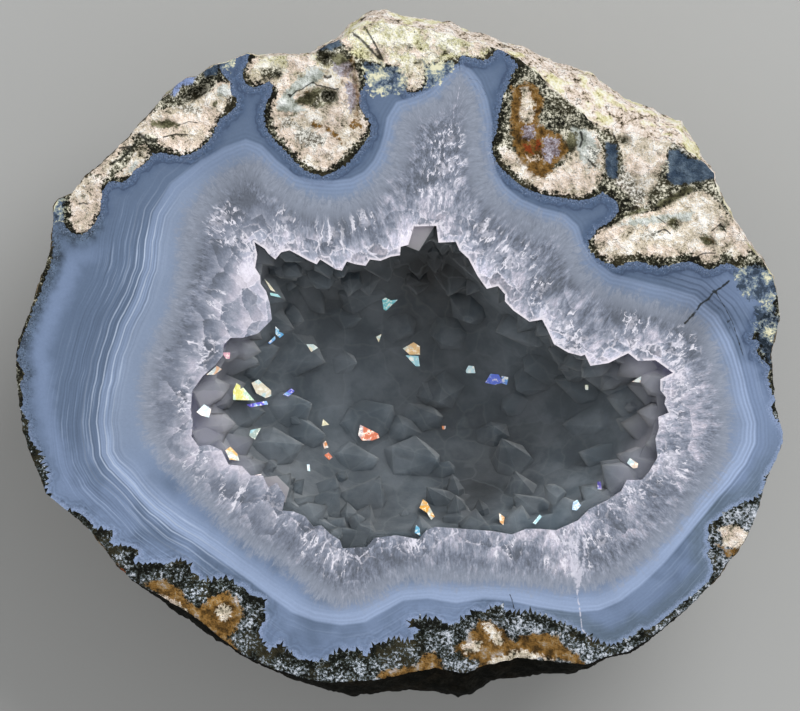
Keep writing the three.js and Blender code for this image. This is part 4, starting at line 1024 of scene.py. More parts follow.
def chalcedony(finish, wall):
    """The banded wall's colour, for any point of the sawn face."""
    parts = WallParts(finish)
    colour = outer_blue(finish, wall, parts)
    colour = pale_band(finish, wall, parts, colour)
    colour = fine_bands(finish, wall, parts, colour)
    grain = sway(finish.noise(0.3, detail=1), 0.07)
    tone = plus(0.88, times(parts.slow, 0.16), grain, finish.clouded(WALL_TONES))
    return finish.toned(colour, tone)


def fringe(finish, wall, lining):
    """The chalcedony with the quartz's fine fibres growing out of it, for both sides of their border."""
    fibre = finish.vector("fibre")
    inward = finish.value("inward")
    fur = finish.noise(0.36, scaled(fibre, (1.0, 1.0, 0.3)), detail=4, rough=0.75)
    higher = times(step(finish.y, 8, 18), 0.9)
    start = plus(inward, higher, sway(fur, 2.3), sway(finish.noise(2.2), 0.9))
    tone = plus(0.4, times(fur, 1.12), times(higher, -0.06), finish.clouded(WALL_TONES))
    haze = finish.toned(lining.grey, tone)
    return mix(chalcedony(finish, wall), haze, step(start, -0.4, 1.8)), fur


def marked(finish, colour):
    """The colour with the dark cracks and white veins of the face drawn in."""
    rough = sway(finish.noise(0.5, detail=3), 1.3)
    crack = step(plus(finish.value("crack"), times(rough, 0.6)), 0.0, 0.85)
    vein = step(plus(finish.value("vein"), times(rough, 1.4)), 0.2, 1.0)
    colour = mix(colour, (206, 206, 220), vein, 0.75)
    return mix(colour, (26, 28, 22), crack, 0.92)


class RockPatterns:
    """The patterns that the rock's finishes on the sawn face share."""

    def __init__(self, finish):
        self.low = step(finish.y, 2, -12)
        self.grit = finish.noise(0.4, detail=3, rough=0.7)
        self.fine_grit = finish.noise(0.22, rough=0.7)
        self.lumps = finish.noise(2.0, detail=5, rough=0.62)
        self.ragged = finish.noise(0.8, detail=3, rough=0.6)
        self.blotch = finish.noise(3.4, detail=3, rough=0.6)


def rock_border(finish, stone, rock):
    """The chalcedony with the light rim, dark needles and pale lint where it meets the rock."""
    near = plus(finish.value("from_rock"), sway(rock.ragged, 0.5))
    at_left = times(step(finish.x, -40, -46), step(finish.y, -20, -8))
    rim_light = times(step(near, 0.9, 0.25), blended(rock.low, 0.12, 0.5), blended(at_left, 1.0, 0.2))
    stone = mix(stone, (150, 168, 204), rim_light)
    reach = maths("DIVIDE", near, blended(at_left, 1.0, 2.2))
    needles = times(step(reach, 0.9, 0.2), step(rock.fine_grit, 0.56, 0.62), blended(rock.low, 0.85, 0.5))
    stone = mix(stone, (34, 40, 40), needles)
    lint = times(step(near, 1.3, 0.5), step(rock.fine_grit, 0.4, 0.35), 0.4)
    return mix(stone, (170, 184, 206), lint)


def granular_rind(finish, wall, rock):
    """The dark rind: salt and pepper low on the face, browner at the top."""
    at_border = step(finish.value("from_rock"), -1.5, -0.3)
    salt = plus(
        rock.grit, sway(rock.lumps, 0.34), times(at_border, blended(rock.low, -0.11, -0.08)),
        sway(rock.fine_grit, 0.1), blended(rock.low, 0.03, 0.038),
        times(rock.low, step(finish.x, 0, 14), 0.045), times(rock.low, step(finish.x, 24, 32), 0.03),
    )
    low_rind = ramp(salt, [
        (0.42, (10, 13, 9)), (0.5, wall.rind), (0.56, (68, 76, 74)), (0.62, (126, 136, 146)),
        (0.7, (204, 210, 220)),
    ])
    top_rind = ramp(salt, [
        (0.4, (18, 18, 11)), (0.47, (50, 50, 38)), (0.53, (104, 104, 88)), (0.6, (184, 180, 162)),
        (0.68, (236, 232, 214)),
    ])
    rind = mix(top_rind, low_rind, rock.low)
    browned = times(step(rock.blotch, 0.48, 0.62), step(salt, 0.6, 0.5), 0.4)
    return mix(rind, (82, 76, 54), browned)


def cream_rock(finish, wall, rock):
    """The altered host rock: cream, pink and yellow, with dark specks and creases."""
    border = times(step(finish.value("cream"), 1.1, -0.2), -0.05)
    speckle = plus(
        0.575, sway(rock.lumps, 0.46), sway(rock.grit, 0.34), sway(rock.fine_grit, 0.12), border,
    )
    cream = ramp(speckle, [
        (0.31, (38, 36, 26)), (0.36, (104, 98, 80)), (0.42, (188, 178, 158)), (0.48, (222, 208, 188)),
        (0.56, wall.cream), (0.68, (255, 252, 246)),
    ])
    pink = times(step(rock.blotch, 0.56, 0.44), step(speckle, 0.44, 0.5), 0.35)
    cream = mix(cream, (246, 218, 200), pink)
    yellow = ramp(speckle, [
        (0.34, (48, 46, 28)), (0.39, (120, 116, 76)), (0.45, (216, 212, 158)), (0.54, (240, 238, 200)),
        (0.66, (252, 250, 236)),
    ])
    toward_top = plus(0.1, times(step(finish.y, 38, 43), 0.8))
    cream = mix(cream, yellow, step(rock.blotch, 0.42, 0.58), toward_top)

    creased = maths("MAXIMUM", ridge(rock.blotch, 0.5, 0.012), times(ridge(rock.lumps, 0.47, 0.016), 0.7))
    creased = times(creased, step(rock.ragged, 0.44, 0.56), 0.7)
    specks = times(step(rock.fine_grit, 0.6, 0.66), step(rock.ragged, 0.4, 0.56), 0.85)
    return mix(cream, (62, 58, 42), maths("MAXIMUM", creased, specks))


def patch_colours(finish, wall, rock):
    """The colours of the smaller patches in the rock, by their names."""
    lumps, grit = rock.lumps, rock.grit
    mottled = plus(blended(step(finish.x, 20, 40), 0.55, 0.44), sway(lumps, 0.7), sway(grit, 0.34))
    pocket = mix((58, 75, 95), (94, 110, 126), step(lumps, 0.4, 0.62))
    return {
        "white": ramp(plus(lumps, sway(grit, 0.12)), [
            (0.3, (104, 110, 98)), (0.42, (176, 182, 172)), (0.54, (214, 219, 214)), (0.68, (244, 246, 244)),
        ]),
        "olive": ramp(plus(lumps, sway(grit, 0.2)), [
            (0.32, (30, 30, 20)), (0.46, (84, 82, 60)), (0.58, (128, 126, 98)), (0.72, (182, 182, 160)),
        ]),
        "amber": ramp(plus(lumps, sway(grit, 0.16)), [
            (0.3, (44, 34, 18)), (0.42, (98, 72, 34)), (0.52, wall.amber), (0.58, (150, 124, 84)),
            (0.66, (164, 154, 148)), (0.76, (216, 210, 206)),
        ]),
        "lavender": ramp(plus(grit, sway(lumps, 0.2)), [
            (0.34, (84, 72, 72)), (0.46, (134, 122, 130)), (0.58, (170, 166, 182)), (0.7, (214, 212, 222)),
        ]),
        "mottled": ramp(mottled, [
            (0.34, (40, 52, 64)), (0.44, (82, 98, 120)), (0.52, (126, 140, 148)), (0.6, (178, 182, 164)),
            (0.7, (232, 228, 194)),
        ]),
        "peppered": ramp(plus(grit, sway(rock.fine_grit, 0.2)), [
            (0.4, (24, 28, 24)), (0.47, (96, 98, 88)), (0.52, (196, 194, 182)), (0.6, (250, 248, 240)),
        ]),
        "blue": finish.toned(pocket, plus(1.0, sway(rock.fine_grit, 0.5))),
        "sky": finish.toned((142, 160, 204), plus(0.7, times(lumps, 0.6))),
        "rust": (140, 66, 30),
    }


def polished_agate(wall, lining):
    """The sawn and polished face: banded chalcedony and the rock round it."""
    finish = Finish("Polished_agate")
    stone, _ = fringe(finish, wall, lining)
    rock = RockPatterns(finish)
    stone = rock_border(finish, stone, rock)
    rind = granular_rind(finish, wall, rock)
    colours = patch_colours(finish, wall, rock)
    colours["cream"] = colours["core"] = cream_rock(finish, wall, rock)
    colours["dark"] = rind

    def laid(name, under, spread=1.0, share=1.0, wider=0.0):
        """A colour with a named patch over it, whose edge is ragged."""
        edge = plus(finish.value(name), wider, sway(rock.ragged, spread), sway(rock.grit, 0.5))
        return mix(under, colours[name], step(edge, -0.2, 0.25), share)

    inner = laid("cream", rind, wider=0.35)
    for name, spread, share in (
        ("amber", 1.0, 1.0), ("core", 0.8, 1.0), ("lavender", 1.0, 0.85), ("rust", 0.8, 1.0),
        ("white", 0.6, 1.0), ("olive", 0.6, 1.0), ("peppered", 1.6, 0.8), ("blue", 0.6, 1.0),
        ("sky", 0.6, 1.0), ("dark", 0.8, 1.0),
    ):
        inner = laid(name, inner, spread, share)
    is_rock = finish.value("rock")
    colour = mix(stone, inner, is_rock)
    colour = laid("mottled", colour, 1.6, 0.9)
    stain = step(plus(finish.value("stain"), sway(rock.ragged, 1.2)), -0.3, 0.9)
    colour = mix(colour, finish.toned(colours["amber"], 1.1), stain, 0.7)
    colour = marked(finish, colour)
    # Painted shade in the weathered pits: the deeper the pit, the darker the colour
    colour = finish.toned(colour, blended(step(finish.value("pit"), 0.5, 1.6), 1.0, 0.55))
    # Over the rock, painted shading of its lumps, together with the ROCK_TONES changes in tone by place
    uneven = plus(sway(rock.lumps, 0.6), finish.clouded(ROCK_TONES))
    colour = finish.toned(colour, plus(1.02, times(uneven, is_rock)))
    height = times(plus(times(rock.grit, 0.5), times(rock.lumps, 1.4)), is_rock)
    return finish.surface(colour, blended(is_rock, 0.3, 0.6), relief(height, 1.0), 0.2)


def weathered_rock():
    """The broken and weathered outside, with painted shadow low down."""
    finish = Finish("Weathered_rock")
    grit = finish.noise(0.45, detail=3, rough=0.7)
    grain = finish.noise(1.6, detail=5, rough=0.62)
    blotch = finish.noise(9, detail=4, rough=0.6)
    patchy = finish.noise(4, detail=3, rough=0.6)
    mixed = plus(0.55, sway(grain, 0.5), sway(grit, 0.36), sway(patchy, 0.12))
    dark = ramp(mixed, [
        (0.36, (18, 18, 13)), (0.5, (52, 50, 40)), (0.62, (96, 92, 78)), (0.74, (150, 146, 132)),
    ])
    brown = ramp(mixed, [
        (0.36, (44, 36, 24)), (0.5, (98, 80, 56)), (0.64, (140, 122, 96)), (0.76, (188, 172, 150)),
    ])
    cream = ramp(mixed, [
        (0.34, (44, 40, 30)), (0.4, (130, 118, 98)), (0.45, (208, 192, 174)), (0.54, (238, 222, 210)),
        (0.68, (254, 249, 242)),
    ])
    lichen = ramp(mixed, [
        (0.34, (84, 82, 50)), (0.43, (200, 194, 138)), (0.58, (236, 232, 186)), (0.7, (250, 248, 228)),
    ])
    cream = mix(cream, lichen, step(patchy, 0.5, 0.6), 0.85)
    creased = times(ridge(patchy, 0.47, 0.012), step(grain, 0.42, 0.54), 0.8)
    cream = mix(cream, (60, 54, 42), creased)
    colour = mix(dark, brown, step(blotch, 0.44, 0.58))
    high = plus(finish.y, times(finish.x, 0.28), sway(blotch, 26))
    colour = mix(colour, cream, step(high, 18, 34))
    # Painted shadow: the outside turns near black towards the bottom, the side that faces away from the lamp
    painted_shadow_level = plus(finish.y, sway(blotch, 14))
    colour = mix(colour, (6, 7, 4), step(painted_shadow_level, -26, -36), 0.96)
    normal = relief(plus(grain, times(grit, 0.5)), 0.9)
    return finish.surface(colour, 0.85, normal, 0.08)


class QuartzGrowth:
    """The patterns of the cut quartz, which follow the way its crystals grew."""

    def __init__(self, finish):
        self.finish = finish
        self.root = finish.vector("root")
        self.share = finish.value("lining_share")
        inputs = {"Vector": finish.place, "Scale": 0.7, "Detail": 3.0, "Roughness": 0.6}
        self.swirl = shifted(fed("TexNoise", inputs, "Color"), (-0.5, -0.5, -0.5))
        outward = fed("VectorMath", {0: finish.place, 1: self.root}, operation="SUBTRACT")
        self.outward = fed("VectorMath", {0: outward}, operation="NORMALIZE")
        self.broken = finish.noise(0.9, detail=3, rough=0.7)
        self.speck = finish.noise(0.34, rough=0.75)
        self.cloud = finish.noise(4.5, detail=3, rough=0.5)
        self.upper = step(plus(finish.y, times(finish.x, 0.3)), -4, 10)
        self.block_tone, self.toward_tip, self.block_side = self.crystals(self.drawn_out(3.1, 0.6, 0.25))
        self.flake_tone, _, _ = self.crystals(self.drawn_out(1.0, 0.7, 0.6))

    def drawn_out(self, width, along, bend):
        """A place for patterns that are drawn out the way the crystals grew, in widths."""
        own, rooted = along / width, (1 - along) / width
        at = shifted(scaled(self.finish.place, (own,) * 3), scaled(self.root, (rooted,) * 3))
        return shifted(at, scaled(self.swirl, (bend,) * 3))

    def crystals(self, at):
        """Each crystal's own tone, how far toward its tip a place is, and how far from its side."""
        tone, side = cell_looks(1, at)
        off = fed("VectorMath", {0: at, 1: cells(1, at, "Position")}, operation="SUBTRACT")
        toward_tip = fed("VectorMath", {0: off, 1: self.outward}, "Value", operation="DOT_PRODUCT")
        return tone, toward_tip, side

    def lines(self, width, along, bend):
        """Thin winding lines that mostly run the way the crystals grew."""
        wandering = self.finish.noise(1, self.drawn_out(width, along, bend), detail=1)
        return ridge(wandering, 0.5, 0.05)


def milky_ground(finish, lining, growth):
    """The cut quartz before its edges and fractures: grey to milky, in blocks and strands."""
    share = growth.share
    mottle = finish.noise(1, growth.drawn_out(1.0, 0.42, 0.6), detail=5, rough=0.68)
    hair = finish.noise(1, growth.drawn_out(0.24, 0.2, 0.5), rough=0.7)
    blocky = step(share, 0.25, 0.6)
    smooth = times(step(share, 0.3, 0.5), step(finish.x, -12, -20))
    at_left = blended(step(finish.x, -14, -22), 0.72, 1.25)
    block = plus(sway(growth.block_tone, 0.14), times(growth.toward_tip, 0.36))
    whiteness = plus(
        0.27, times(share, 0.34), sway(growth.cloud, 0.42), finish.clouded(QUARTZ_TONES),
        times(sway(mottle, 1.1), blended(blocky, 1.0, 0.75), blended(smooth, 1.0, 0.4)),
        times(block, blocky, at_left), sway(growth.flake_tone, 0.05), times(growth.upper, share, 0.1),
    )
    colour = ramp(whiteness, [
        (0.05, lining.shade), (0.32, (118, 125, 141)), (0.54, (148, 153, 168)),
        (0.76, lining.milky), (0.95, (210, 206, 218)),
    ])
    strands = times(sway(hair, 1.0), blended(blocky, 1.0, 0.55), blended(smooth, 1.0, 0.5))
    return finish.toned(colour, plus(0.86, times(growth.speck, 0.28), strands))


def faceted_edge(finish, growth, colour):
    """The colour with painted shading of facets next to the hollow, each lighter or darker, and light
    creases between them.
    """
    facets_at = shifted(finish.place, scaled(growth.swirl, (0.9,) * 3))
    facet, facet_side = cell_looks(2.4, facets_at, 1)
    by_height = plus(0.35, times(growth.upper, 0.65))
    at_edge = times(step(finish.value("from_hollow"), 3.2, 1.4), by_height)
    # Painted shade and light: each facet near the hollow made lighter or darker, more so on the upper side
    painted_facet_shade = times(at_edge, plus(0.02, sway(facet, 0.36)))
    colour = finish.toned(colour, plus(1.0, painted_facet_shade))
    creases = times(step(facet_side, 0.06, 0.02), at_edge, step(growth.broken, 0.42, 0.52))
    return mix(colour, (232, 228, 238), creases, 0.75)


def fractures(finish, growth, inward, colour):
    """The colour with light crystal sides, small white fractures and glassy flakes."""
    share, broken = growth.share, growth.broken
    side = times(step(growth.block_side, 0.05, 0.01), step(share, 0.5, 0.85), step(broken, 0.5, 0.58))
    colour = mix(colour, (226, 224, 236), side, 0.75)
    uneven = sway(finish.noise(2.6), 0.6)
    clustered = plus(finish.value("sparkle"), uneven, times(share, 0.3), times(growth.upper, 0.1))
    strokes = maths("MAXIMUM", growth.lines(1.0, 0.2, 0.5), growth.lines(1.4, 0.35, 1.6))
    gaps = finish.noise(1, growth.drawn_out(1.0, 0.35, 0.6))
    strokes = times(strokes, step(clustered, -0.2, 0.4), step(inward, 1.2, 3.0), step(gaps, 0.5, 0.58))
    colour = mix(colour, (238, 236, 246), strokes, 0.9)
    foil = times(step(clustered, 0.72, 1.0), step(broken, 0.42, 0.52))
    foil_colour = finish.toned((230, 228, 240), plus(0.6, times(growth.speck, 0.8)))
    colour = mix(colour, foil_colour, foil, 0.32)
    glassy = times(step(growth.flake_tone, 0.8, 0.86), step(clustered, 0.2, 0.8), step(broken, 0.4, 0.5))
    colour = mix(colour, (230, 228, 240), glassy, 0.3)
    tip = times(step(finish.value("from_hollow"), 0.5, 0.1), growth.upper, step(broken, 0.36, 0.46), 0.8)
    return mix(colour, (236, 230, 238), tip)


def cut_quartz(wall, lining):
    """The quartz where the saw cut it: fine fibres at the wall, milky crystals at the hollow."""
    finish = Finish("Cut_quartz")
    outer, fur = fringe(finish, wall, lining)
    inward = finish.value("inward")
    growth = QuartzGrowth(finish)
    colour = milky_ground(finish, lining, growth)
    colour = faceted_edge(finish, growth, colour)
    colour = fractures(finish, growth, inward, colour)
    start = plus(inward, sway(fur, 2.2), sway(growth.cloud, 1.0))
    colour = mix(outer, colour, step(start, 1.2, 4.4))
    colour = marked(finish, colour)
    return finish.surface(colour, 0.34, relief(growth.speck, 0.02), 0.25)


def clear_crystal(lining):
    """Smoky, see-through crystals in the hollow, with painted shade and painted light that change by place.
    """
    finish = Finish("Clear_crystal")
    veil = finish.noise(6.0, detail=4, rough=0.6)
    streak = finish.noise(0.8, detail=3, rough=0.7)
    height = fed("SeparateXYZ", {0: finish.place}, 2)
    swirl = fed("TexNoise", {"Vector": finish.place, "Scale": 0.25, "Detail": 2.0}, "Color")
    inside = shifted(scaled(finish.place, (0.17, 0.17, 0.06)), scaled(swirl, (0.5,) * 3))
    ghost, ghost_side = cell_looks(1, inside)

    colour = mix(lining.smoke, lining.mist, step(veil, 0.35, 0.7))
    # Painted shade and painted light in the hollow, set by place
    tone = plus(0.88, times(streak, 0.14), sway(ghost, 0.08), finish.clouded(HOLLOW_SHADE_AND_LIGHT))
    colour = finish.toned(colour, tone)
    at_rim = plus(step(finish.x, -16, -26), step(finish.x, 26, 36))
    milky = times(step(height, 32, 42), at_rim, plus(0.45, times(ghost, 0.5)))
    colour = mix(colour, finish.toned(lining.milky, 1.5), milky)
    pale = step(finish.value("facet_tone"), 1.5, 6.0)
    colour = mix(colour, (226, 220, 232), pale, 0.9)
    inner_edges = step(ghost_side, 0.04, 0.0)
    colour = mix(colour, (190, 200, 204), inner_edges, 0.12)

    facing = finish.put("NewGeometry", {}, "Normal")
    from_behind = finish.put("NewGeometry", {}, "Backfacing")
    lift = maths("MULTIPLY_ADD", from_behind, -6.4, 3.2)
    leaning = shifted(facing, fed("CombineXYZ", {2: lift}))
    eased = fed("VectorMath", {0: leaning}, operation="NORMALIZE")
    material = finish.surface(
        colour, 0.3, relief(streak, 0.02, eased), 0.2,
        **{"Transmission Weight": 0.5, "IOR": 1.544, "Subsurface Weight": 1.0,
           "Subsurface Radius": (1.0, 1.0, 1.0), "Subsurface Scale": 0.007},
    )
    smoke = finish.put("VolumeAbsorption", {"Color": linear(150, 158, 160), "Density": 60.0})
    finish.tree.links.new(smoke, finish.output.inputs["Volume"])
    return material


def painted_glint():
    """Facets with painted glints: painted reflection colours and a faint painted glow."""
    finish = Finish("Painted_glint")
    colour = finish.put("Attribute", {}, "Color", attribute_name="glint")
    glare_and_bump = finish.noise(0.7, detail=3, rough=0.7)
    drift = finish.noise(1.6, detail=1)
    # Painted reflections: pale blue and near-white patches over each glint, and the glint made brighter in
    # places
    colour = mix(colour, (150, 208, 226), step(drift, 0.5, 0.62), 0.5)
    colour = mix(colour, (246, 238, 222), step(glare_and_bump, 0.5, 0.64), 0.7)
    colour = finish.toned(colour, plus(0.95, times(glare_and_bump, 0.8)))
    # Painted glow: the facets give off a little light in their own colour
    return finish.surface(
        colour, 0.25, relief(glare_and_bump, 0.02), **{"Emission Color": colour, "Emission Strength": 0.3},
    )


def quartz_root():
    """Where the lining and the wall touch, hidden between them."""
    finish = Finish("Quartz_root")
    colour = mix((70, 78, 90), (104, 112, 122), finish.noise(4.0, detail=3))
    return finish.surface(colour, 0.6)


def studio_floor(stage):
    """The plain pale floor."""
    finish = Finish("Studio_floor")
    colour = finish.toned(stage.floor, plus(0.97, times(finish.noise(60), 0.06)))
    return finish.surface(colour, 0.7)


# Pieces

def rough_at(point, size):
    """Layered noise at a place, in millimetres, from about -1 to 1."""
    return noise.fractal(Vector(point) / size, 0.7, 2.1, 4)


def chipped(loop):
    """The sawn edge with small chips, each bitten inwards."""
    outline = resampled(loop, bpy.context.scene.geode_wall.edge_grain / MM, True)
    middle = outline.mean(0)
    made = []
    for x, y in outline:
        away = np.array([x, y]) - middle
        bite = 0.16 + 0.16 * rough_at((x, y, 3), 0.9)
        made.append(np.array([x, y]) - away / np.linalg.norm(away) * max(0.0, bite))
    return np.array(made)


def weathered_back(solid, rim, pitting):
    """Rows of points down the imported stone's outside, under each point of the rim, roughened inwards."""
    outside, flat_height = 0.2, 1e-5
    tree = BVHTree.FromBMesh(solid)
    middle = Vector((0, 0, FACE_HEIGHT))
    made = []
    for row in range(1, BACK_ROWS):
        share = row / BACK_ROWS
        dip = math.radians(90) * (0.55 * share + 0.45 * share * share)
        for x, y in rim:
            turn = math.atan2(y, x)
            away = Vector((math.cos(dip) * math.cos(turn), math.cos(dip) * math.sin(turn), -math.sin(dip)))
            hit = tree.ray_cast(middle + away * outside, -away)[0]
            if hit is None:
                raise RuntimeError("A ray missed the outside of the stone")
            place = hit / MM
            bite = 0.5 + 0.35 * rough_at(place, 5) + 0.4 * rough_at(place, 1.6)
            on_flat = hit.z < flat_height
            moved = hit if on_flat else hit - away * pitting * max(0.0, bite)
            made.append(Vector((moved.x, moved.y, max(0.0, moved.z))))
    return made


def pit_depths(points):
    """How far each point of the face lies down a weathered pit, in millimetres."""
    depths = np.zeros(len(points))
    ragged = np.array([rough_at((x, y, 0), 0.8) for x, y in points])
    for at, half, turn, depth in PITS:
        angle = math.radians(turn)
        x, y = (points - at).T
        along = (x * math.cos(angle) + y * math.sin(angle)) / half[0]
        across = (y * math.cos(angle) - x * math.sin(angle)) / half[1]
        reach = np.sqrt(along ** 2 + across ** 2) + 0.12 * ragged
        depths = np.maximum(depths, depth * np.sqrt(np.clip(1 - reach ** 2, 0, 1)))
    return depths


def rock_relief(points, rim):
    """How far the rough rock lies below the polish at each point, in millimetres."""
    lumps = np.array([rough_at((x, y, 4), 1.3) for x, y in points])
    inside_rock = np.clip(-depth_inside(points, ROCK_EDGE) / 0.5 - 0.6, 0, 1)
    inside_rim = np.clip(distance_to(points, rim, True) - 0.3, 0, 1)
    return inside_rock * inside_rim * np.clip(0.14 + 0.3 * lumps, 0, 0.6)


def back_faces(start, count, foot):
    """The outside's faces: between the rows of points that begin at start, and closed at the foot."""
    faces = []
    for row in range(BACK_ROWS - 1):
        for i in range(count):
            here, beside = start + row * count + i, start + row * count + (i + 1) % count
            faces.append((here, beside, beside + count, here + count))
    last = start + (BACK_ROWS - 1) * count
    faces += [(last + i, last + (i + 1) % count, foot) for i in range(count)]
    return faces


def add_face(face, numbers, points, faces):
    """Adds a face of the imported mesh, and those of its corners that aren't in the points yet."""
    for vert in face.verts:
        if vert not in numbers:
            numbers[vert] = len(points)
            points.append(vert.co.copy())
    faces.append(tuple(numbers[v] for v in face.verts))


def build_wall(wall, lining):
    """The agate wall and its rock in one solid: sawn face, bowl under the quartz, weathered outside."""
    widest_lip, sunk_from = 3, 0.003
    solid = welded("agate_shell")
    quartz_edge = face_loops(solid)[1]
    split_edges(solid, wall.face_grain)
    outer_edge, inner_edge = face_loops(solid)[:2]
    rim = chipped(outer_edge)
    rock_outline = toothed(ROCK_EDGE)
    marks = [path for path, _, _ in CRACKS + VEINS[:1]] + [[*rock_outline, rock_outline[0]]]
    flat, triangles = fine_face([rim, inner_edge], marks, wall.face_grain / MM, 5)
    depths = np.maximum(pit_depths(flat), rock_relief(flat, rim))
    points = [Vector((x * MM, y * MM, FACE_HEIGHT - d * MM)) for (x, y), d in zip(flat, depths)]
    faces = [tuple(t) for t in triangles.tolist()]
    face_count = len(faces)

    start = len(points)
    points += [Vector((x * MM, y * MM, FACE_HEIGHT)) for x, y in rim]
    points += weathered_back(solid, rim, wall.back_relief)
    points.append(Vector((0, 0, 0)))
    faces += back_faces(start, len(rim), len(points) - 1)
    outside_count = len(faces)

    over_bowl = Vector((0.004, -0.002, FACE_HEIGHT))
    numbers = {}
    for face in solid.faces:
        centre = face.calc_center_median()
        within = depth_inside(np.array([[centre.x / MM, centre.y / MM]]), quartz_edge)[0] > -widest_lip
        if within and not on_face(face) and face.normal.dot(centre - over_bowl) < 0:
            add_face(face, numbers, points, faces)

    piece = mesh_of("Agate_wall", points, faces)
    mesh = piece.data
    places = seen_from_above(points)
    keep_bands(mesh, places, quartz_edge)
    for name, outlines in PATCHES.items():
        depth = np.max([depth_inside(places, outline) for outline in outlines], axis=0)
        keep(mesh, name, depth.clip(-PATCH_REACH, PATCH_REACH))
    keep(mesh, "pit", np.pad(depths, (0, len(points) - len(depths))))
    slots = [0] * face_count + [1] * (outside_count - face_count) + [2] * (len(faces) - outside_count)
    mesh.polygons.foreach_set("material_index", slots)
    sunk = (depths[triangles] > sunk_from).any(1)
    mesh.polygons.foreach_set("use_smooth", sunk.tolist() + [slot == 1 for slot in slots[face_count:]])
    in_rock = np.zeros(len(faces))
    in_rock[:face_count] = ~is_inside(flat[triangles].mean(1), rock_outline)
    keep_on_faces(mesh, "rock", in_rock)
    for material in (polished_agate(wall, lining), weathered_rock(), quartz_root()):
        mesh.materials.append(material)
    tidy_solid(mesh)
    solid.free()
    return piece


def tidy_solid(mesh):
    """Welds a mesh's seams, turns its faces outwards and checks that it is closed."""
    solid = bmesh.new()
    solid.from_mesh(mesh)
    bmesh.ops.remove_doubles(solid, verts=solid.verts, dist=SEAM_GAP)
    bmesh.ops.recalc_face_normals(solid, faces=solid.faces)
    bmesh.ops.delete(solid, geom=[edge for edge in solid.edges if not edge.link_faces], context="EDGES")
    if not all(edge.is_manifold for edge in solid.edges):
        raise RuntimeError(f"{mesh.name} is not closed")
    if solid.calc_volume(signed=True) < 0:
        bmesh.ops.reverse_faces(solid, faces=solid.faces)
    solid.to_mesh(mesh)
    solid.free()


def crystal_solid(foot, axis, reach, radius, rng):
    """Points and faces of one six-sided crystal with its point off the axis, in metres."""
    rooted, taper, flattened, tip_drift = 0.0015, 0.95, 0.12, 0.3
    side = axis.orthogonal().normalized()
    across = axis.cross(side)
    turn = rng.uniform(0, math.pi)
    tip_rise = min(radius * rng.uniform(0.9, 1.4), reach)
    root, shoulder = foot - axis * rooted, foot + axis * (reach - tip_rise)
    points = []
    for centre, size in ((root, radius), (shoulder, radius * taper)):
        for i in range(6):
            angle = turn + i * math.pi / 3
            size_here = size * (1 + flattened * math.cos(2 * angle + turn * 5))
            points.append(centre + (side * math.cos(angle) + across * math.sin(angle)) * size_here)
    drift = (side * rng.uniform(-1, 1) + across * rng.uniform(-1, 1)) * radius * tip_drift
    points.append(foot + axis * reach + drift)
    faces = [tuple(reversed(range(6)))]
    for i in range(6):
        j = (i + 1) % 6
        faces += [(i, j, 6 + j, 6 + i), (6 + i, 6 + j, 12)]
    return points, faces


def hollow_spots(solid, count, rng):
    """Places on the wall of the hollow, spread by area, each with the way it faces."""
    highest, deep_from, lowest = 0.0015, 0.009, 0.019
    smallest_face = 4e-7
    crowded = 3
    upright = 0.55
    middle = Vector((0.004, -0.004, FACE_HEIGHT - 0.006))
    walls, areas = [], []
    for face in solid.faces:
        centre = face.calc_center_median()
        depth = FACE_HEIGHT - centre.z
        area = face.calc_area()
        if highest < depth < lowest and face.normal.dot(middle - centre) > 0 and area > smallest_face:
            walls.append(face)
            areas.append(area * (1 if depth > deep_from else crowded))
    spots = []
    for face in rng.choices(walls, areas, k=count):
        corners = [v.co for v in face.verts[:3]]
        a, b = sorted((rng.random(), rng.random()))
        spot = corners[0] * a + corners[1] * (b - a) + corners[2] * (1 - b)
        leaning = face.normal * upright + (middle - spot).normalized() * (1 - upright)
        spots.append((spot, leaning.normalized()))
    return spots


def facet_plane(tree, outline):
    """The middle and the three numbers of a plane that lies close over the crystals inside an outline."""
    steepest, clear_over, least_drop = 1.1, 0.2, 0.6
    down = Vector((0, 0, -1))
    outline = np.array(outline)
    middle = outline.mean(0)
    found = []
    for x, y in np.vstack([outline, (outline + middle) / 2, [middle]]):
        just_under = Vector((x * MM, y * MM, FACE_HEIGHT - 0.0002))
        hit, normal, _, _ = tree.ray_cast(just_under, down)
        if hit is not None and normal.z > 0:
            found.append((1, x - middle[0], y - middle[1], hit.z / MM))
    if len(found) < 3:
        raise RuntimeError("A glinting facet does not lie over the hollow")
    found = np.array(found)
    plane = np.linalg.lstsq(found[:, :3], found[:, 3], rcond=None)[0]
    plane[1:] *= min(1, steepest / max(SMALL, np.hypot(*plane[1:])))
    plane[0] += (found[:, 3] - found[:, :3] @ plane).max() + clear_over
    limit = FACE_HEIGHT / MM - least_drop
    if max(height_on(plane, middle, corner) for corner in outline) > limit:
        plane = np.array([limit, 0, 0])
    return middle, plane


def height_on(plane, middle, place):
    """A plane's height over a place, in millimetres."""
    return plane @ (1, *(np.array(place) - middle))


def glint_solid(outline, middle, plane):
    """Points and faces of a stub whose top facet lies on a plane, in metres."""
    rooted = 2
    tops = [height_on(plane, middle, corner) for corner in outline]
    floor = min(tops) - rooted
    top = [Vector((x, y, z)) * MM for (x, y), z in zip(outline, tops)]
    base = [Vector((x, y, floor)) * MM for x, y in outline]
    count = len(outline)
    faces = [tuple(range(count)), tuple(reversed(range(count, 2 * count)))]
    for i in range(count):
        j = (i + 1) % count
        faces.append((i, count + i, count + j, j))
    return top + base, faces


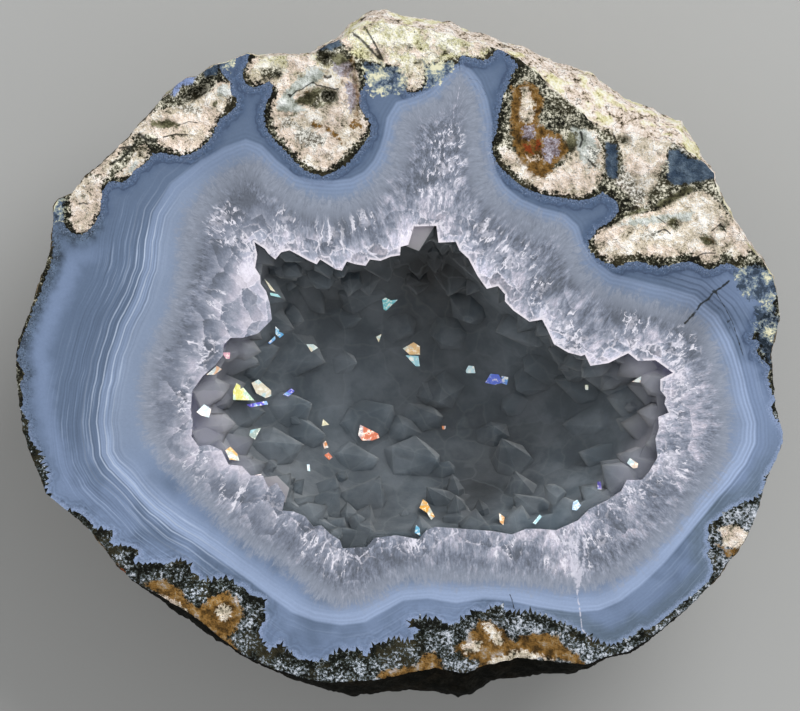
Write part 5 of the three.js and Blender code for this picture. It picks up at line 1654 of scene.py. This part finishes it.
def small_crystals(solid, lining):
    """Shapes of small crystals on the hollow's wall, clear of the glinting facets and the sawn face."""
    glint_gap, tip_under_face, foot_under_face = 1, 0.0008, 0.0004
    rng = random.Random(11)
    centres = np.array([np.mean(outline, axis=0) for outline, _ in GLINTS])
    shapes = []
    for spot, axis in hollow_spots(solid, lining.small_crystals, rng):
        radius = lining.crystal_radius * rng.uniform(0.6, 1.5)
        reach = radius * rng.uniform(0.9, 1.9)
        gap = np.linalg.norm(centres - np.array(spot.xy) / MM, axis=1).min()
        tip_under = (spot + axis * reach).z < FACE_HEIGHT - tip_under_face
        foot_under = spot.z < FACE_HEIGHT - radius - foot_under_face
        if gap > glint_gap + radius / MM and tip_under and foot_under:
            shapes.append(crystal_solid(spot, axis, reach, radius, rng))
    return shapes


def united(solid, shapes):
    """A solid with further closed shapes joined to it."""
    start = bpy.data.meshes.new("crust_start")
    solid.to_mesh(start)
    crust = bpy.data.objects.new("crust_start", start)
    bpy.context.scene.collection.objects.link(crust)
    added = bpy.data.collections.new("added_crystals")
    bpy.context.scene.collection.children.link(added)
    for points, faces in shapes:
        mesh = bpy.data.meshes.new("crystal")
        mesh.from_pydata(points, [], faces)
        grown = bmesh.new()
        grown.from_mesh(mesh)
        bmesh.ops.recalc_face_normals(grown, faces=grown.faces)
        bmesh.ops.triangulate(grown, faces=grown.faces)
        grown.to_mesh(mesh)
        grown.free()
        added.objects.link(bpy.data.objects.new("crystal", mesh))
    join = crust.modifiers.new("join", "BOOLEAN")
    join.operation = "UNION"
    join.operand_type = "COLLECTION"
    join.collection = added
    join.solver = "MANIFOLD"
    shown = crust.evaluated_get(bpy.context.evaluated_depsgraph_get())
    made = bmesh.new()
    made.from_mesh(shown.data)
    bmesh.ops.triangulate(made, faces=[f for f in made.faces if len(f.verts) > 3])
    for item in list(added.objects) + [crust]:
        bpy.data.objects.remove(item)
    bpy.data.collections.remove(added)
    return made


def meet_wall(solid, quartz_edge):
    """Moves the lining's outer edge on the sawn face out to the wall, with no gap to be seen."""
    widest_gap = 0.8
    for vert in solid.verts:
        at = np.array(vert.co.xy) / MM
        reach = np.linalg.norm(quartz_edge - at, axis=1)
        if abs(vert.co.z - FACE_HEIGHT) < NEAR_FACE and reach.min() < widest_gap:
            vert.co.xy = Vector(quartz_edge[reach.argmin()]) * MM


def facet_looks(centre, planes):
    """The looks of the glinting and pale facets whose plane a face's middle lies on."""
    on_plane = 0.01
    spot = np.array(centre.xy) / MM
    looks = []
    for (outline, look), (middle, plane) in zip(GLINTS + PALE_FACETS, planes):
        off = abs(height_on(plane, middle, spot) - centre.z / MM)
        if is_inside(spot[None], outline)[0] and off < on_plane:
            looks.append(look)
    return looks


def build_lining(wall, lining):
    """The quartz lining in one solid: cut face, crystals in the hollow, side grown on the wall."""
    near_wall, downward = 0.00045, 0.5
    plain = (0.3, 0.3, 0.3, 1)
    shell, packed = welded("agate_shell"), welded("quartz_crust")
    quartz_edge = face_loops(shell)[1]
    wall_tree = BVHTree.FromBMesh(shell)
    meet_wall(packed, quartz_edge)
    packed_tree = BVHTree.FromBMesh(packed)
    planes = [facet_plane(packed_tree, outline) for outline, _ in GLINTS + PALE_FACETS]
    stubs = [glint_solid(outline, *plane) for (outline, _), plane in zip(GLINTS + PALE_FACETS, planes)]
    solid = united(packed, small_crystals(packed, lining) + stubs)
    split_edges(solid, lining.face_grain)
    loops = face_loops(solid)
    marks = [path for path, _, _ in VEINS + CRACKS[:1]]
    flat, triangles = fine_face(loops, marks, lining.face_grain / MM, 9)
    points = [Vector((x * MM, y * MM, FACE_HEIGHT)) for x, y in flat]
    faces = [tuple(t) for t in triangles.tolist()]

    slots = [0] * len(faces)
    glints = [plain] * len(faces)
    tones = [0.0] * len(faces)
    rng = random.Random(3)
    numbers = {}
    for face in solid.faces:
        if on_face(face):
            continue
        add_face(face, numbers, points, faces)
        centre = face.calc_center_median()
        shining = facet_looks(centre, planes)
        lit = [look for look in shining if isinstance(look, tuple)]
        pale = [look for look in shining if not isinstance(look, tuple)]
        rooted = wall_tree.find_nearest(centre)[3] < near_wall and face.normal.z < downward
        slots.append(2 if lit else 3 if rooted else 1)
        glints.append(linear(*lit[0]) if lit else plain)
        tones.append(pale[0] if pale else rng.uniform(-1, 1))

    piece = mesh_of("Quartz_lining", points, faces)
    mesh = piece.data
    places = seen_from_above(points)
    keep_bands(mesh, places, quartz_edge)
    inward = distance_to(places, loops[0], True)
    from_hollow = distance_to(places, loops[1], True)
    keep(mesh, "root", root_places(places, quartz_edge))
    keep(mesh, "from_hollow", from_hollow)
    keep(mesh, "lining_share", inward / (inward + from_hollow + SMALL))
    nearness = [1 - np.hypot(*(places - at).T) / reach for at, reach in SPARKLES]
    keep(mesh, "sparkle", np.max(nearness, axis=0).clip(-1, 1))
    mesh.polygons.foreach_set("material_index", slots)
    keep_on_faces(mesh, "facet_tone", tones)
    colours = mesh.attributes.new("glint", "FLOAT_COLOR", "FACE")
    colours.data.foreach_set("color", np.array(glints, np.float32).ravel())
    for material in (cut_quartz(wall, lining), clear_crystal(lining), painted_glint(), quartz_root()):
        mesh.materials.append(material)
    tidy_solid(mesh)
    for body in (shell, packed, solid):
        body.free()
    return piece


class GEODE_OT_agate_wall(bpy.types.Operator):
    """Makes the banded agate wall with its rock"""
    bl_idname = "geode.agate_wall"
    bl_label = "Agate wall"

    def execute(self, context):
        piece = build_wall(context.scene.geode_wall, context.scene.geode_lining)
        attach(piece, "root")
        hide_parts("agate_shell")
        return {"FINISHED"}


class GEODE_OT_quartz_lining(bpy.types.Operator):
    """Makes the quartz lining and its crystals"""
    bl_idname = "geode.quartz_lining"
    bl_label = "Quartz lining"

    def execute(self, context):
        piece = build_lining(context.scene.geode_wall, context.scene.geode_lining)
        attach(piece, "root")
        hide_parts("quartz_crust")
        return {"FINISHED"}


class GEODE_OT_stage(bpy.types.Operator):
    """Makes the floor, the soft lights and the camera"""
    bl_idname = "geode.stage"
    bl_label = "Stage"

    def execute(self, context):
        stage = context.scene.geode_stage
        reach = 1.6
        corners = [(-reach, -reach, 0), (reach, -reach, 0), (reach, reach, 0), (-reach, reach, 0)]
        floor = mesh_of("Floor", corners, [(0, 1, 2, 3)])
        floor.location.z = -FLOOR_DROP
        floor.data.materials.append(studio_floor(stage))

        camera = bpy.data.objects.new("Camera", bpy.data.cameras.new("Camera"))
        camera.data.lens = stage.lens
        distance = stage.picture_width * stage.lens / camera.data.sensor_width
        camera.location = (0, PICTURE_MIDDLE, FACE_HEIGHT + distance)
        camera.data.clip_end = 10
        context.scene.collection.objects.link(camera)
        context.scene.camera = camera

        lamp = bpy.data.objects.new("Soft_lamp", bpy.data.lights.new("Soft_lamp", "AREA"))
        lamp.data.energy = stage.lamp_power
        lamp.data.size = LAMP_SIZE
        lamp.visible_glossy = False
        lamp.location = LAMP_PLACE
        toward = Vector(LAMP_TARGET) - lamp.location
        lamp.rotation_euler = toward.to_track_quat("-Z", "Y").to_euler()
        context.scene.collection.objects.link(lamp)

        world = bpy.data.worlds.new("Sky")
        world.use_nodes = True
        sky = world.node_tree.nodes["Background"]
        sky.inputs["Color"].default_value = (1, 1, 1, 1)
        sky.inputs["Strength"].default_value = stage.sky
        context.scene.world = world
        context.scene.view_settings.view_transform = "Standard"
        return {"FINISHED"}


class GEODE_PT_panel(bpy.types.Panel):
    """Lists the geode's pieces"""
    bl_idname = "GEODE_PT_panel"
    bl_label = "Agate geode"
    bl_space_type = "VIEW_3D"
    bl_region_type = "UI"
    bl_category = "Geode"

    def draw(self, context):
        for operator, settings in (
            (GEODE_OT_agate_wall, context.scene.geode_wall),
            (GEODE_OT_quartz_lining, context.scene.geode_lining),
            (GEODE_OT_stage, context.scene.geode_stage),
        ):
            box = self.layout.box()
            box.operator(operator.bl_idname)
            for name in settings.bl_rna.properties.keys():
                if name not in {"rna_type", "name"}:
                    box.prop(settings, name)


SETTINGS = {"geode_wall": WallSettings, "geode_lining": LiningSettings, "geode_stage": StageSettings}
CLASSES = (
    *SETTINGS.values(), GEODE_OT_agate_wall, GEODE_OT_quartz_lining, GEODE_OT_stage, GEODE_PT_panel,
)


def register():
    for item in CLASSES:
        bpy.utils.register_class(item)
    for name, group in SETTINGS.items():
        setattr(bpy.types.Scene, name, bpy.props.PointerProperty(type=group))


def unregister():
    for name in SETTINGS:
        delattr(bpy.types.Scene, name)
    for item in reversed(CLASSES):
        bpy.utils.unregister_class(item)


def main():
    register()
    bpy.ops.geode.agate_wall()
    bpy.ops.geode.quartz_lining()
    bpy.ops.geode.stage()


if __name__ == "__main__":
    main()
